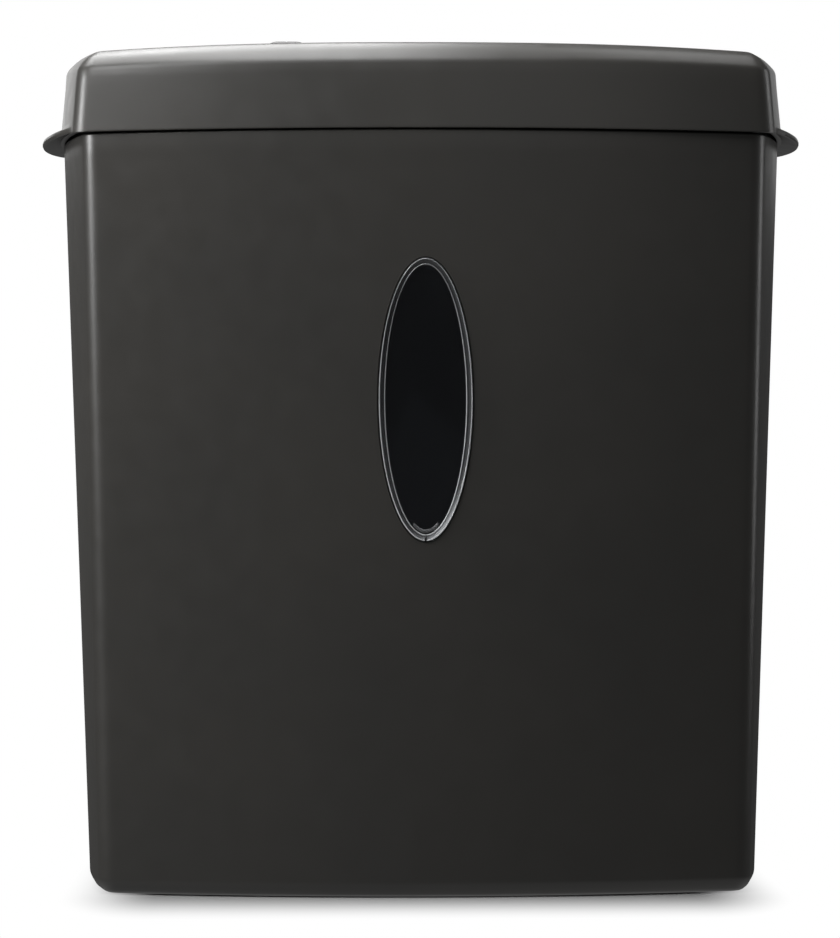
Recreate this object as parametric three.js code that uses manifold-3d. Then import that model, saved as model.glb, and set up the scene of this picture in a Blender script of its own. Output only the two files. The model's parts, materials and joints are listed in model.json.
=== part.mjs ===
// Paper shredder: a tapered waste bin with an oval viewing window, and a lift-off cutting
// head that holds two meshing cutter rollers, a three-stage gear train and a motor.
// Millimetres, +Z up. The origin is on the floor under the middle of the bin, the feed
// slot runs along X and the front faces -Y.

import * as THREE from "three";
import { mergeVertices } from "three/addons/utils/BufferGeometryUtils.js";
import Module from "manifold-3d";

const wasm = await Module();
wasm.setup();

// ---------------------------------------------------------------- driving dimensions

const GAP = 0.3; // clearance between pieces that touch or rest on each other

// The plan outline is four outward-bowed sides with rounded corners.
const FRONT_BOW = 25.6;
const CORNER_RADIUS = 12;
const SHARPEST_CORNER = 3; // what is left of the corner radius deep inside the outline
const SIDE_STEPS = 2;
const CORNER_STEPS = 3;
const FRONT_STEPS = 4;

// Bin
const BIN_HEIGHT = 358.4;
const BIN_WALL = 2.5;
const BIN_FOOT = { halfWidth: 161.9, halfDepth: 102.6, cornerX: 153.3 };
const BIN_RIM = { halfWidth: 174.3, halfDepth: 113.8, cornerX: 159.5 };
const BIN_FOOT_ROUND = 6.5;
const RIM_BEAD = 4.5; // wall thickness of the stiffened rim that the head rests on
const RIM_BEAD_HEIGHT = 6;
const INTERLOCK_TAB = { x: -120, halfWidth: 3, yFront: -95.6, yBack: -74, z0: 290, z1: 302 };

// Window
const WINDOW_Z = 232.6;
const WINDOW_HALF_WIDTH = 22;
const WINDOW_HALF_HEIGHT = 66;
const WINDOW_RIM = 3.1;
const WINDOW_SIDES = 32;
const WINDOW_FIT = 0.4; // clearance between the lens and its hole
const WINDOW_BEVEL = 0.9;
const LENS_PROFILE = [
  // [inset, height over the wall face], from the hollow back to the face of the panel
  [WINDOW_RIM + WINDOW_BEVEL, -1.2],
  [WINDOW_RIM + WINDOW_BEVEL, -2.4],
  [0, -2.4],
  [0, 0.4],
  [WINDOW_BEVEL, 1.1],
  [WINDOW_RIM - 0.6, 1.1],
  [WINDOW_RIM, 0.5],
];

// Top cover of the head
const COVER_Z0 = 359;
const COVER_SHOULDER_Z = 389.6;
const COVER_TOP_Z = 400.8;
const COVER_WALL = 2.5;
const COVER_FOOT = { halfWidth: 175.9, halfDepth: 115.0, cornerX: 164.5 };
const COVER_SHOULDER = { halfWidth: 173.0, halfDepth: 112.3, cornerX: 162.3 };
const COVER_FLAT = { halfWidth: 144, halfDepth: 91, cornerX: 130 }; // the level middle of the top
const COVER_OUTER = [
  // [inset, height over the front and back, height over the sides], upwards
  [0, COVER_Z0, COVER_Z0],
  [0, COVER_SHOULDER_Z, 392.2],
  [0.9, 392, 394.2],
  [4.2, 396, 397.2],
  [7.4, 398.5, 399],
  [11, 400, 400.2],
  [18, COVER_TOP_Z, COVER_TOP_Z],
];
const COVER_INNER = [
  [18, COVER_TOP_Z - COVER_WALL, COVER_TOP_Z - COVER_WALL],
  [9.6, 396.4, 396.8],
  [COVER_WALL, 389, 391],
  [COVER_WALL, COVER_Z0, COVER_Z0],
];
const SIDE_HALF_LENGTH = 75; // the sides' own heights fade out over this distance from their middle
const CORNER_DROOP = 3.9; // the shoulders sink by up to 0.4 of this at the corners
const EAR = { centreX: 155, halfWidth: 29.8, halfLength: 84, z0: 359.5, thickness: 3 };
const EAR_ROOT_X = 174;
const EAR_SLOPE = 0.24; // the ears slope down from their roots

// Lower housing of the head: a tray that hangs inside the bin
const TRAY_INSET = 8;
const TRAY_WALL = 2.5;
const TRAY_Z0 = 306;
const TRAY_FLOOR = TRAY_Z0 + TRAY_WALL;
const TRAY_FLANGE_INSET = 2.9;
const TRAY_FLANGE = [BIN_HEIGHT + GAP, 361.2];
const CHUTE = { halfLength: 112, y0: -52, y1: 28 }; // the opening that the shreds fall through
const POST_RADIUS = 4.8;
const POST_SEAT_Z = 345; // the cover screws' heads bear on the posts from below at this height
const BOSS_RADIUS = 4;
const BOSS_BORE_TOP = 376;

// Where the mains cable enters, square to the bowed rear wall of the cover
const GLAND_X = -110;
const GLAND_Z = 372;
const GLAND_RADIUS = 6.4;
const GLAND_BORE = 4.4;
const GLAND_SIDES = 12;
const GLAND_BODY = [-6, 1]; // along the gland, outwards from the wall face
const GLAND_OUTER_FLANGE = { radius: GLAND_RADIUS + 2.6, span: [0.6, 2.5] };
const GLAND_INNER_FLANGE = { radius: GLAND_RADIUS + 1.4, span: [-5.4, -3.5] };

// Cutting block
const THROAT_Y = -12;
const CUTTER_Z = 344;
const CUTTER_SPACING = 34;
const FRONT_Y = THROAT_Y - CUTTER_SPACING / 2;
const REAR_Y = THROAT_Y + CUTTER_SPACING / 2;
const DISC_RADIUS = 19;
const DISC_NOTCH = 1.1;
const DISC_POINTS = 12;
const DISC_THICKNESS = 6.1;
const DISC_PITCH = 13;
const FRONT_DISCS = 17;
const SPACER_RADIUS = 14.4;
const STACK_HALF_LENGTH = 108.5;
const HEX_RADIUS = 6.9; // corner radius of the hexagonal shaft
const JOURNAL_RADIUS = 5;
const PLATE_X = [113.5, 115.5];
const BUSH_RADIUS = 8;
const BUSH_X = [111.9, PLATE_X[0] - GAP, 117.2];
const FINGER_WIDTH = 6.2;
const FINGER_HEIGHT = 6;
const STRIPPER_REACH = { root: DISC_RADIUS + 2.2, back: DISC_RADIUS + 7.5, tip: SPACER_RADIUS + 0.5 };
const LEFT_SHAFT_END = -122;
const CIRCLIP = { outer: 7.4, x: [-119.2, -118.2], mouth: 0.5 }; // mouth: half its opening angle
const PLATE_FRONT_Y = -56;
const PLATE_BACK_Y = { left: 34, right: 88 };
const PLATE_TOP_Z = 380;
const PLATE_CORNER = 8; // size of the chamfered corners
const PLATE_FOOT = { reach: 10, y: [-50, 26], thickness: 2 };
const MOTOR_NOSE_HOLE = 6;
const TIE_ROD_RADIUS = 3;
const TIE_RODS = [
  // [y, z]
  [-48, 372],
  [26, 373],
  [-50, 319],
];

// Gear train, from the rear cutter roller back to the motor. Each layer is a span along X.
const SYNC_LAYER = [117.6, 123.6];
const THIRD_LAYER = [124.6, 131.6];
const SECOND_LAYER = [132.6, 137.1];
const FIRST_LAYER = [138.1, 142.1];
const SYNC_GEAR = { teeth: 17, module: 2 };
const THIRD_WHEEL = { teeth: 48, module: 1.25 };
const THIRD_PINION = { teeth: 16, module: 1.25 };
const SECOND_WHEEL = { teeth: 44, module: 1 };
const SECOND_PINION = { teeth: 11, module: 1 };
const FIRST_WHEEL = { teeth: 40, module: 0.8 };
const MOTOR_PINION = { teeth: 10, module: 0.8 };
const GEAR_2_DIRECTION = THREE.MathUtils.degToRad(38); // from the rear roller, above the horizontal
const MOTOR_AXIS = new THREE.Vector2(62, CUTTER_Z);
const GEAR_2_AXLE_RADIUS = 3;
const GEAR_1_AXLE_RADIUS = 2;
const AXLE_COLLAR = 1.6; // how far the collar stands out from its axle, and how thick it is
const TOOTH_ROOT_SHARE = 0.5; // tooth width at the root circle, as a share of the tooth pitch
const TOOTH_TIP_SHARE = 0.16;
const ADDENDUM = 0.86; // in modules
const DEDENDUM = 1.22;
const GEAR_COVER_X = [143.6, 145.2];
const GEAR_COVER_OUTLINE = [
  // [y, z]
  [-30, 312],
  [66, 316],
  [76, 326],
  [76, 366],
  [60, 392],
  [0, 394],
  [-44, 366],
  [-44, 322],
];
const STAND_OFF_RADIUS = 3.4;
const STAND_OFFS = [
  // [y, z]
  [-36, 318],
  [70, 322],
  [-12, 381],
];

// Motor
const MOTOR_RADIUS = 27;
const MOTOR_X = [22, 36, PLATE_X[0] - GAP]; // end cap, can, drive end
const MOTOR_WALL = 2;
const MOTOR_SHAFT_RADIUS = 3;
const PINION_SEAT_RADIUS = 1.5;
const CAN_END_THICKNESS = 2.5;
const CAP_END_THICKNESS = 2;
const VENT = { y: 3, z: [11, 21], count: 6 };
const MAGNET_X = [52, 98];
const MAGNET_THICKNESS = 4.6;
const MAGNET_START = Math.PI * 0.14;
const ARMATURE_PROFILE = [
  // [radius, x]: shaft, commutator, end winding, laminations, end winding, shaft, pinion seat
  [0, 23],
  [MOTOR_SHAFT_RADIUS, 23],
  [MOTOR_SHAFT_RADIUS, 38],
  [8, 38],
  [8, 45],
  [14, 46],
  [15, 52],
  [18.5, 52],
  [18.5, 98],
  [15, 98],
  [14, 104],
  [MOTOR_SHAFT_RADIUS, 104],
  [MOTOR_SHAFT_RADIUS, 137.4],
  [PINION_SEAT_RADIUS, 137.4],
  [PINION_SEAT_RADIUS, FIRST_LAYER[1] + 0.3],
  [0, FIRST_LAYER[1] + 0.3],
];
const FAN = { hubRadius: 6, radius: 21, x0: 25, discX: 32, x1: 34 };
const FAN_BLADE = { x: [25.5, 33], halfThickness: 0.8, z: [5, 20], count: 8 };
const THERMAL_CUTOUT = { x: [60, 78], halfWidth: 6, z1: 34 };

// Feed slot
const SLOT_LENGTH = 222;
const SLOT_WIDTH = 7;
const SLOT_Z = 366;
const FUNNEL_Z = 384; // where the straight throat opens into the funnel
const FUNNEL_WALL = 2;
const BEZEL_LENGTH = 244;
const BEZEL_WIDTH = 44;
const BEZEL_TOP_Z = 402.4;
const BEZEL_LIP = 3; // how far the bezel's flange covers the edge of the cover's opening
const MOUTH_OVERHANG = 5; // how far the mouth runs past each end of the slot
const MOUTH_WIDTH = 31;

// Mode switch on the front left of the top
const SWITCH_X = -65;
const SWITCH_Y = -72;
const PANEL = { halfLength: 25, halfWidth: 10, z0: 396.9, z1: 400.5 };
const PANEL_TAB = { halfLength: 28, halfWidth: 5, z1: 398 }; // hooks under the cover at both ends
const KNOB = { halfLength: 8, halfWidth: 5, z0: 399.3, z1: 403.3 };
const KNOB_NOTCH = { x: [2.5, 4.5], depth: 0.9 };
const STEM = { halfLength: 3, halfWidth: 1.6, z0: 393.5 };
const STEM_SLOT = { halfLength: 12, halfWidth: 2 };
const KNOB_RECESS = { halfLength: 17.5, halfWidth: 6.5 };
const SWITCH_BODY = { halfLength: 18, halfWidth: 9, z0: 384 };
const LED_OFFSETS = [-21.5, 21.5];
const LED = { radius: 1.6, top: 401, flangeRadius: 2.4, flangeZ0: 395.4, hole: 2 };

// Posts that the cover screws pass through, as [x, y]
const COVER_POSTS = [
  [-140, -70],
  [140, -70],
  [-124, 80],
  [124, 80],
];
const BLOCK_SCREWS = [
  [-121, -42],
  [-121, 18],
  [121, -42],
  [121, 18],
];
const BLOCK_SCREW_HOLE = 2.3;
const COVER_SCREW = { headRadius: 3, headHeight: 2.4, shankRadius: 1.4, z1: 372, slot: [1.6, 0.4, 1.4] };
const BLOCK_SCREW = { headRadius: 4, headHeight: 2.4, shankRadius: 2, z1: 310.9, slot: [2, 0.5, 0.9] };

// Electrics
const BOARD = { x: -148, thickness: 1.6, y: [-44, 52], height: 62 };
const RELAY = { x: [1.9, 17], y: [14, 34], z: [22, 40] };
const CAPACITOR = { radius: 8, x: [1.9, 22], y: -14, z: 40 };
const PLUNGER = { x: -120, y: -78, radius: 2, z1: 314 };
const PLUNGER_HOLE = 2.6;
const INTERLOCK_BODY = { x: [4, 20], halfWidth: 6, z1: 326 }; // x from the plunger's axis
const INTERLOCK_LEVER = { x: [-3, 5], halfWidth: 2, z: [317.5, 319] };
const LEVER = { x: 0, halfWidth: 2, pivotY: 4, pivotZ: 378, bore: 1.2 };
const LEVER_OUTLINE = [
  // [y, z] from the pivot, round the arm to the trigger tip and back
  [-2.5, 2],
  [2.2, 2.6],
  [3.2, 0],
  [2.2, -2.6],
  [-7, -5],
  [-15.5, -9],
  [-18, -8],
  [-17, -6],
];
const SENSOR_BODY = { halfLength: 9, y: [7, 16], halfHeight: 8 };
const SENSOR_CHEEK = { thickness: 1.7, y: [-2.5, 12], halfHeight: 3 };
const SENSOR_PIN = 0.85;

// ---------------------------------------------------------------- materials

const finish = (color, roughness, metalness = 0, extra = {}) =>
  new THREE.MeshStandardMaterial({ color, roughness, metalness, ...extra });
const MATERIALS = {
  shell: finish(0x35342f, 0.38),
  window: finish(0x20232a, 0.08, 0, { transparent: true, opacity: 0.55 }),
  trim: finish(0x1c1c1d, 0.5),
  led: finish(0x6f8f72, 0.2),
  steel: finish(0xa9adb0, 0.35, 0.9),
  darkSteel: finish(0x5c5f63, 0.4, 0.9),
  gearPlastic: finish(0xd9d6c8, 0.55),
  brass: finish(0xb08d4e, 0.4, 0.9),
  magnet: finish(0x3a3a3c, 0.7),
  board: finish(0x2c5a3a, 0.6),
  relay: finish(0x2b4f8c, 0.45),
  rubber: finish(0x141414, 0.85),
};

// ---------------------------------------------------------------- solids

function solid(geometry) {
  geometry.deleteAttribute("normal");
  geometry.deleteAttribute("uv");
  const merged = mergeVertices(geometry, 1e-4);
  const mesh = new wasm.Mesh({
    numProp: 3,
    vertProperties: merged.attributes.position.array,
    triVerts: new Uint32Array(merged.index.array),
  });
  return new wasm.Manifold(mesh);
}

function geometryOf(manifold) {
  const mesh = manifold.getMesh();
  const geometry = new THREE.BufferGeometry();
  geometry.setAttribute("position", new THREE.BufferAttribute(mesh.vertProperties, 3));
  geometry.setIndex(new THREE.BufferAttribute(mesh.triVerts, 1));
  geometry.computeVertexNormals();
  return geometry;
}

const cut = (body, ...tools) => tools.reduce((left, tool) => left.subtract(tool), body);
const join = (...bodies) => bodies.reduce((whole, body) => whole.add(body));

function add(group, name, body, material) {
  const mesh = new THREE.Mesh(geometryOf(body), material);
  mesh.name = name;
  group.add(mesh);
  return mesh;
}

function box(x0, x1, y0, y1, z0, z1) {
  const geometry = new THREE.BoxGeometry(x1 - x0, y1 - y0, z1 - z0);
  geometry.translate((x0 + x1) / 2, (y0 + y1) / 2, (z0 + z1) / 2);
  return solid(geometry);
}

// Rods along X and Z. The sides count is enough for a round look at each radius.
function rodX(radius, x0, x1, y = 0, z = 0, sides = 16) {
  const geometry = new THREE.CylinderGeometry(radius, radius, x1 - x0, sides);
  geometry.rotateZ(-Math.PI / 2);
  geometry.translate((x0 + x1) / 2, y, z);
  return solid(geometry);
}

function rodZ(radius, z0, z1, x = 0, y = 0, sides = 16) {
  const geometry = new THREE.CylinderGeometry(radius, radius, z1 - z0, sides);
  geometry.rotateX(Math.PI / 2);
  geometry.translate(x, y, (z0 + z1) / 2);
  return solid(geometry);
}

// A profile of [radius, x] points turned about the X axis.
function turnedX(profile, sides = 20) {
  const points = profile.map(([radius, along]) => new THREE.Vector2(radius, along));
  const geometry = new THREE.LatheGeometry(points, sides);
  geometry.rotateZ(-Math.PI / 2);
  const made = solid(geometry);
  return made.volume() > 0 ? made : solid(flipped(geometry));
}

function flipped(geometry) {
  const index = geometry.index.array;
  for (let i = 0; i < index.length; i += 3) {
    [index[i + 1], index[i + 2]] = [index[i + 2], index[i + 1]];
  }
  return geometry;
}

const AXIS_X = new THREE.Vector3(1, 0, 0);
const AXIS_Y = new THREE.Vector3(0, 1, 0);
const AXIS_Z = new THREE.Vector3(0, 0, 1);
const SHAPE_YZ_TO_X = new THREE.Matrix4().makeBasis(AXIS_Y, AXIS_Z, AXIS_X);
const SHAPE_XZ_TO_FRONT = new THREE.Matrix4().makeBasis(
  AXIS_X,
  AXIS_Z,
  AXIS_Y.clone().negate(),
);

function extrusion(shape, depth, curveSegments) {
  return new THREE.ExtrudeGeometry(shape, { depth, bevelEnabled: false, curveSegments });
}

// A shape drawn in (y, z), extruded from x0 to x1.
function extrudeX(shape, x0, x1, curveSegments = 8) {
  const geometry = extrusion(shape, x1 - x0, curveSegments);
  geometry.applyMatrix4(SHAPE_YZ_TO_X);
  geometry.translate(x0, 0, 0);
  return solid(geometry);
}

// A shape drawn in (x, y), extruded from z0 to z1.
function extrudeZ(shape, z0, z1, curveSegments = 8) {
  const geometry = extrusion(shape, z1 - z0, curveSegments);
  geometry.translate(0, 0, z0);
  return solid(geometry);
}

function polygon(points) {
  return new THREE.Shape(points.map(([u, v]) => new THREE.Vector2(u, v)));
}

// A body drawn once and turned copies of it about the X axis.
function aroundX(body, count) {
  const copies = [];
  for (let i = 0; i < count; i++) {
    copies.push(body.rotate([(360 / count) * i, 0, 0]));
  }
  return join(...copies);
}

// Closed surface through a list of rings that all run anticlockwise seen from +Z.
// It is closed by a flat fan over the first ring and another over the last.
function loft(rings) {
  const count = rings[0].length;
  const positions = [];
  const triangles = [];
  for (const ring of rings) {
    for (const point of ring) {
      positions.push(point.x, point.y, point.z);
    }
  }
  for (let level = 0; level + 1 < rings.length; level++) {
    for (let i = 0; i < count; i++) {
      const next = (i + 1) % count;
      const a = level * count + i;
      const b = level * count + next;
      const c = a + count;
      const d = b + count;
      triangles.push(a, b, d, a, d, c);
    }
  }
  const firstCentre = positions.length / 3;
  const lastCentre = firstCentre + 1;
  const lastRing = (rings.length - 1) * count;
  positions.push(0, 0, rings[0][0].z, 0, 0, rings.at(-1)[0].z);
  for (let i = 0; i < count; i++) {
    const next = (i + 1) % count;
    triangles.push(firstCentre, next, i);
    triangles.push(lastCentre, lastRing + i, lastRing + next);
  }
  const geometry = new THREE.BufferGeometry();
  geometry.setAttribute("position", new THREE.Float32BufferAttribute(positions, 3));
  geometry.setIndex(triangles);
  return geometry;
}

// ---------------------------------------------------------------- the bowed outline

// One quarter of the outline, moved in by inset, as arcs from (halfWidth, 0) anticlockwise.
function quarterArcs({ halfWidth, halfDepth, cornerX }, inset) {
  const cornerY = halfDepth - FRONT_BOW;
  const sideBow = halfWidth - cornerX;
  const frontRadius = (cornerX ** 2 + FRONT_BOW ** 2) / (2 * FRONT_BOW);
  const sideRadius = (cornerY ** 2 + sideBow ** 2) / (2 * sideBow);
  const cornerRadius = Math.max(CORNER_RADIUS - inset, SHARPEST_CORNER);
  const front = {
    centre: new THREE.Vector2(0, halfDepth - frontRadius),
    radius: frontRadius - inset,
    steps: FRONT_STEPS,
  };
  const side = {
    centre: new THREE.Vector2(halfWidth - sideRadius, 0),
    radius: sideRadius - inset,
    from: 0,
    steps: SIDE_STEPS,
  };
  const centre = circlesMeet(
    front.centre,
    front.radius - cornerRadius,
    side.centre,
    side.radius - cornerRadius,
  );
  const from = centre.clone().sub(side.centre).angle();
  const corner = { centre, radius: cornerRadius, from, steps: CORNER_STEPS };
  front.from = centre.clone().sub(front.centre).angle();
  return [side, corner, front];
}

// Where two circles meet, on the right of the line from the first centre to the second.
function circlesMeet(first, firstRadius, second, secondRadius) {
  const between = second.clone().sub(first);
  const distance = between.length();
  const along = (distance ** 2 + firstRadius ** 2 - secondRadius ** 2) / (2 * distance);
  const aside = Math.sqrt(firstRadius ** 2 - along ** 2);
  const unit = between.divideScalar(distance);
  return new THREE.Vector2(
    first.x + unit.x * along + unit.y * aside,
    first.y + unit.y * along - unit.x * aside,
  );
}

// The quarter outline as points, from the middle of the side to the middle of the back.
function quarter(size, inset) {
  const arcs = quarterArcs(size, inset);
  const points = [];
  arcs.forEach((arc, i) => {
    const to = i + 1 < arcs.length ? arcs[i + 1].from : Math.PI / 2;
    for (let step = 0; step < arc.steps; step++) {
      const angle = arc.from + ((to - arc.from) * step) / arc.steps;
      points.push([
        arc.centre.x + arc.radius * Math.cos(angle),
        arc.centre.y + arc.radius * Math.sin(angle),
      ]);
    }
  });
  points.push([0, size.halfDepth - inset]);
  return points;
}

// The whole outline, anticlockwise seen from above. heightAt gives z for a point of it.
function ring(size, inset, heightAt) {
  const points = quarter(size, inset).map(([x, y]) => [x, y, heightAt(x, y)]);
  const forward = points.slice(0, -1);
  const backward = points.slice(1).reverse();
  return [
    ...forward.map(([x, y, z]) => new THREE.Vector3(x, y, z)),
    ...backward.map(([x, y, z]) => new THREE.Vector3(-x, y, z)),
    ...forward.map(([x, y, z]) => new THREE.Vector3(-x, -y, z)),
    ...backward.map(([x, y, z]) => new THREE.Vector3(x, -y, z)),
  ];
}

function blend(low, high, share) {
  const size = {};
  for (const key of Object.keys(low)) {
    size[key] = THREE.MathUtils.lerp(low[key], high[key], share);
  }
  return size;
}

const binSize = (z) => blend(BIN_FOOT, BIN_RIM, z / BIN_HEIGHT);
const binRing = (inset, z) => ring(binSize(z), inset, () => z);

function coverSize(z) {
  const share = (z - COVER_Z0) / (COVER_SHOULDER_Z - COVER_Z0);
  return blend(COVER_FOOT, COVER_SHOULDER, THREE.MathUtils.clamp(share, 0, 1));
}

// A level of the cover: higher over the sides than over the front and back, and, above the
// side walls, drooping towards the four corners.
function coverRing([inset, z, sideZ]) {
  const size = coverSize(z);
  const droop = z < COVER_SHOULDER_Z - 1 ? 0 : CORNER_DROOP;
  return ring(size, inset, (x, y) => {
    const along = x / (size.halfWidth - inset);
    const across = y / (size.halfDepth - inset);
    const sideShare = Math.max(0, 1 - (y / SIDE_HALF_LENGTH) ** 2);
    return THREE.MathUtils.lerp(z, sideZ, sideShare) - droop * along ** 4 * across ** 2;
  });
}

const levelCoverRing = (inset, z) => ring(coverSize(z), inset, () => z);

// ---------------------------------------------------------------- bin

const BIN_LEAN = Math.atan((BIN_RIM.halfDepth - BIN_FOOT.halfDepth) / BIN_HEIGHT);

// The window's own frame: its face on the leaning front wall, w pointing out of the wall.
function windowFrame() {
  const place = new THREE.Matrix4().makeTranslation(0, -binSize(WINDOW_Z).halfDepth, WINDOW_Z);
  const lean = new THREE.Matrix4().makeRotationX(BIN_LEAN);
  return place.multiply(lean).multiply(SHAPE_XZ_TO_FRONT);
}

function ovalRing(inset, w) {
  const points = [];
  for (let i = 0; i < WINDOW_SIDES; i++) {
    const angle = (i / WINDOW_SIDES) * 2 * Math.PI;
    points.push(
      new THREE.Vector3(
        (WINDOW_HALF_WIDTH - inset) * Math.cos(angle),
        (WINDOW_HALF_HEIGHT - inset) * Math.sin(angle),
        w,
      ),
    );
  }
  return points;
}

function windowHole() {
  const throughWall = 20;
  const geometry = loft([
    ovalRing(-WINDOW_FIT, -throughWall),
    ovalRing(-WINDOW_FIT, throughWall),
  ]);
  return solid(geometry.applyMatrix4(windowFrame()));
}

function binShell() {
  const shell = solid(
    loft([
      binRing(BIN_FOOT_ROUND, 0),
      binRing(BIN_FOOT_ROUND * 0.3, BIN_FOOT_ROUND * 0.3),
      binRing(0, BIN_FOOT_ROUND),
      binRing(0, BIN_HEIGHT),
      binRing(RIM_BEAD, BIN_HEIGHT),
      binRing(RIM_BEAD, BIN_HEIGHT - RIM_BEAD_HEIGHT),
      binRing(BIN_WALL, BIN_HEIGHT - RIM_BEAD_HEIGHT - RIM_BEAD),
      binRing(BIN_WALL, BIN_WALL + BIN_FOOT_ROUND),
      binRing(BIN_WALL + BIN_FOOT_ROUND, BIN_WALL),
    ]),
  );
  const tab = INTERLOCK_TAB;
  const tabBody = box(
    tab.x - tab.halfWidth,
    tab.x + tab.halfWidth,
    tab.yFront,
    tab.yBack,
    tab.z0,
    tab.z1,
  );
  return cut(join(shell, tabBody), windowHole());
}

// A clear oval panel with a raised, bevelled rim, hollowed from behind.
function windowLens() {
  const geometry = loft(LENS_PROFILE.map(([inset, w]) => ovalRing(inset, w)));
  return solid(geometry.applyMatrix4(windowFrame()));
}

// ---------------------------------------------------------------- head casings

function bezelHole() {
  return box(
    -BEZEL_LENGTH / 2 + BEZEL_LIP,
    BEZEL_LENGTH / 2 - BEZEL_LIP,
    THROAT_Y - BEZEL_WIDTH / 2 + BEZEL_LIP,
    THROAT_Y + BEZEL_WIDTH / 2 - BEZEL_LIP,
    COVER_TOP_Z - 10,
    COVER_TOP_Z + 10,
  );
}

const COVER_LEAN = Math.atan(
  (COVER_FOOT.halfDepth - COVER_SHOULDER.halfDepth) / (COVER_SHOULDER_Z - COVER_Z0),
);
function glandFrame() {
  const back = quarterArcs(coverSize(GLAND_Z), 0).at(-1);
  const turn = Math.asin(-GLAND_X / back.radius);
  const y = back.centre.y + back.radius * Math.cos(turn);
  const place = new THREE.Matrix4().makeTranslation(GLAND_X, y, GLAND_Z);
  const face = new THREE.Matrix4().makeRotationZ(turn);
  const lean = new THREE.Matrix4().makeRotationX(COVER_LEAN);
  return place.multiply(face).multiply(lean);
}

function glandRod(radius, y0, y1) {
  const geometry = new THREE.CylinderGeometry(radius, radius, y1 - y0, GLAND_SIDES);
  geometry.translate(0, (y0 + y1) / 2, 0);
  return solid(geometry.applyMatrix4(glandFrame()));
}

function cordGland() {
  const body = join(
    glandRod(GLAND_RADIUS, ...GLAND_BODY),
    glandRod(GLAND_OUTER_FLANGE.radius, ...GLAND_OUTER_FLANGE.span),
    glandRod(GLAND_INNER_FLANGE.radius, ...GLAND_INNER_FLANGE.span),
  );
  return cut(body, glandRod(GLAND_BORE, GLAND_BODY[0] - 3, GLAND_OUTER_FLANGE.span[1] + 1));
}

function panelHole() {
  const u = PANEL.halfLength + GAP;
  const v = PANEL.halfWidth + GAP;
  return box(
    SWITCH_X - u,
    SWITCH_X + u,
    SWITCH_Y - v,
    SWITCH_Y + v,
    COVER_TOP_Z - 10,
    COVER_TOP_Z + 10,
  );
}

// A half-oval plate on each side that slopes down and outwards from the wall.
function ear(side) {
  const shape = new THREE.Shape();
  shape.absellipse(side * EAR.centreX, 0, EAR.halfWidth, EAR.halfLength, 0, 2 * Math.PI);
  const geometry = extrusion(shape, EAR.thickness, 16);
  geometry.applyMatrix4(new THREE.Matrix4().makeShear(0, -side * EAR_SLOPE, 0, 0, 0, 0));
  geometry.translate(0, 0, EAR.z0 + EAR_SLOPE * EAR_ROOT_X);
  return solid(geometry);
}

function topCover() {
  const ceiling = ring(COVER_FLAT, COVER_WALL, () => COVER_TOP_Z - COVER_WALL);
  const flatTop = ring(COVER_FLAT, 0, () => COVER_TOP_Z);
  const levels = [...COVER_INNER, ...COVER_OUTER].map(coverRing);
  const shell = solid(loft([ceiling, ...levels, flatTop]));
  const insideWall = COVER_WALL / 2;
  const core = solid(
    loft([
      levelCoverRing(insideWall, COVER_Z0 - 10),
      levelCoverRing(insideWall, COVER_Z0 + 20),
    ]),
  );
  const ears = [-1, 1].map((side) => cut(ear(side), core));
  const bosses = COVER_POSTS.map(([x, y]) =>
    rodZ(BOSS_RADIUS, TRAY_FLANGE[1] + GAP, COVER_TOP_Z - COVER_WALL, x, y, 12),
  );
  const bores = COVER_POSTS.map(([x, y]) =>
    rodZ(COVER_SCREW.shankRadius + GAP, COVER_Z0, BOSS_BORE_TOP, x, y, 8),
  );
  return cut(
    join(shell, ...ears, ...bosses),
    ...bores,
    bezelHole(),
    panelHole(),
    glandRod(GLAND_RADIUS + GAP, -20, 20),
  );
}

function lowerHousing() {
  const tray = solid(
    loft([
      binRing(TRAY_INSET, TRAY_Z0),
      binRing(TRAY_INSET, TRAY_FLANGE[0]),
      binRing(TRAY_FLANGE_INSET, TRAY_FLANGE[0]),
      binRing(TRAY_FLANGE_INSET, TRAY_FLANGE[1]),
      binRing(TRAY_INSET + TRAY_WALL, TRAY_FLANGE[1]),
      binRing(TRAY_INSET + TRAY_WALL, TRAY_FLOOR),
    ]),
  );
  const postTop = TRAY_FLANGE[1] - GAP;
  const below = TRAY_Z0 - 1;
  const posts = COVER_POSTS.map(([x, y]) => rodZ(POST_RADIUS, TRAY_Z0, postTop, x, y, 12));
  const wells = COVER_POSTS.map(([x, y]) =>
    rodZ(COVER_SCREW.headRadius + 0.5, below, POST_SEAT_Z, x, y, 12),
  );
  const holes = COVER_POSTS.map(([x, y]) =>
    rodZ(COVER_SCREW.shankRadius + 0.5, TRAY_Z0, postTop + 1, x, y, 8),
  );
  const blockHoles = BLOCK_SCREWS.map(([x, y]) =>
    rodZ(BLOCK_SCREW_HOLE, below, TRAY_FLOOR + 1, x, y, 8),
  );
  const chute = box(
    -CHUTE.halfLength,
    CHUTE.halfLength,
    CHUTE.y0,
    CHUTE.y1,
    below,
    TRAY_FLOOR + 1,
  );
  const plungerHole = rodZ(PLUNGER_HOLE, below, TRAY_FLOOR + 1, PLUNGER.x, PLUNGER.y, 12);
  return cut(join(tray, ...posts), ...wells, ...holes, ...blockHoles, chute, plungerHole);
}

// Rounded rectangle rings for the feed bezel, with chamfered corners.
function slotRing(length, width, chamfer, z) {
  const u = length / 2;
  const v = width / 2;
  const corners = [
    [u, -v + chamfer],
    [u, v - chamfer],
    [u - chamfer, v],
    [-u + chamfer, v],
    [-u, v - chamfer],
    [-u, -v + chamfer],
    [-u + chamfer, -v],
    [u - chamfer, -v],
  ];
  return corners.map(([x, y]) => new THREE.Vector3(x, y, z));
}

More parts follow.
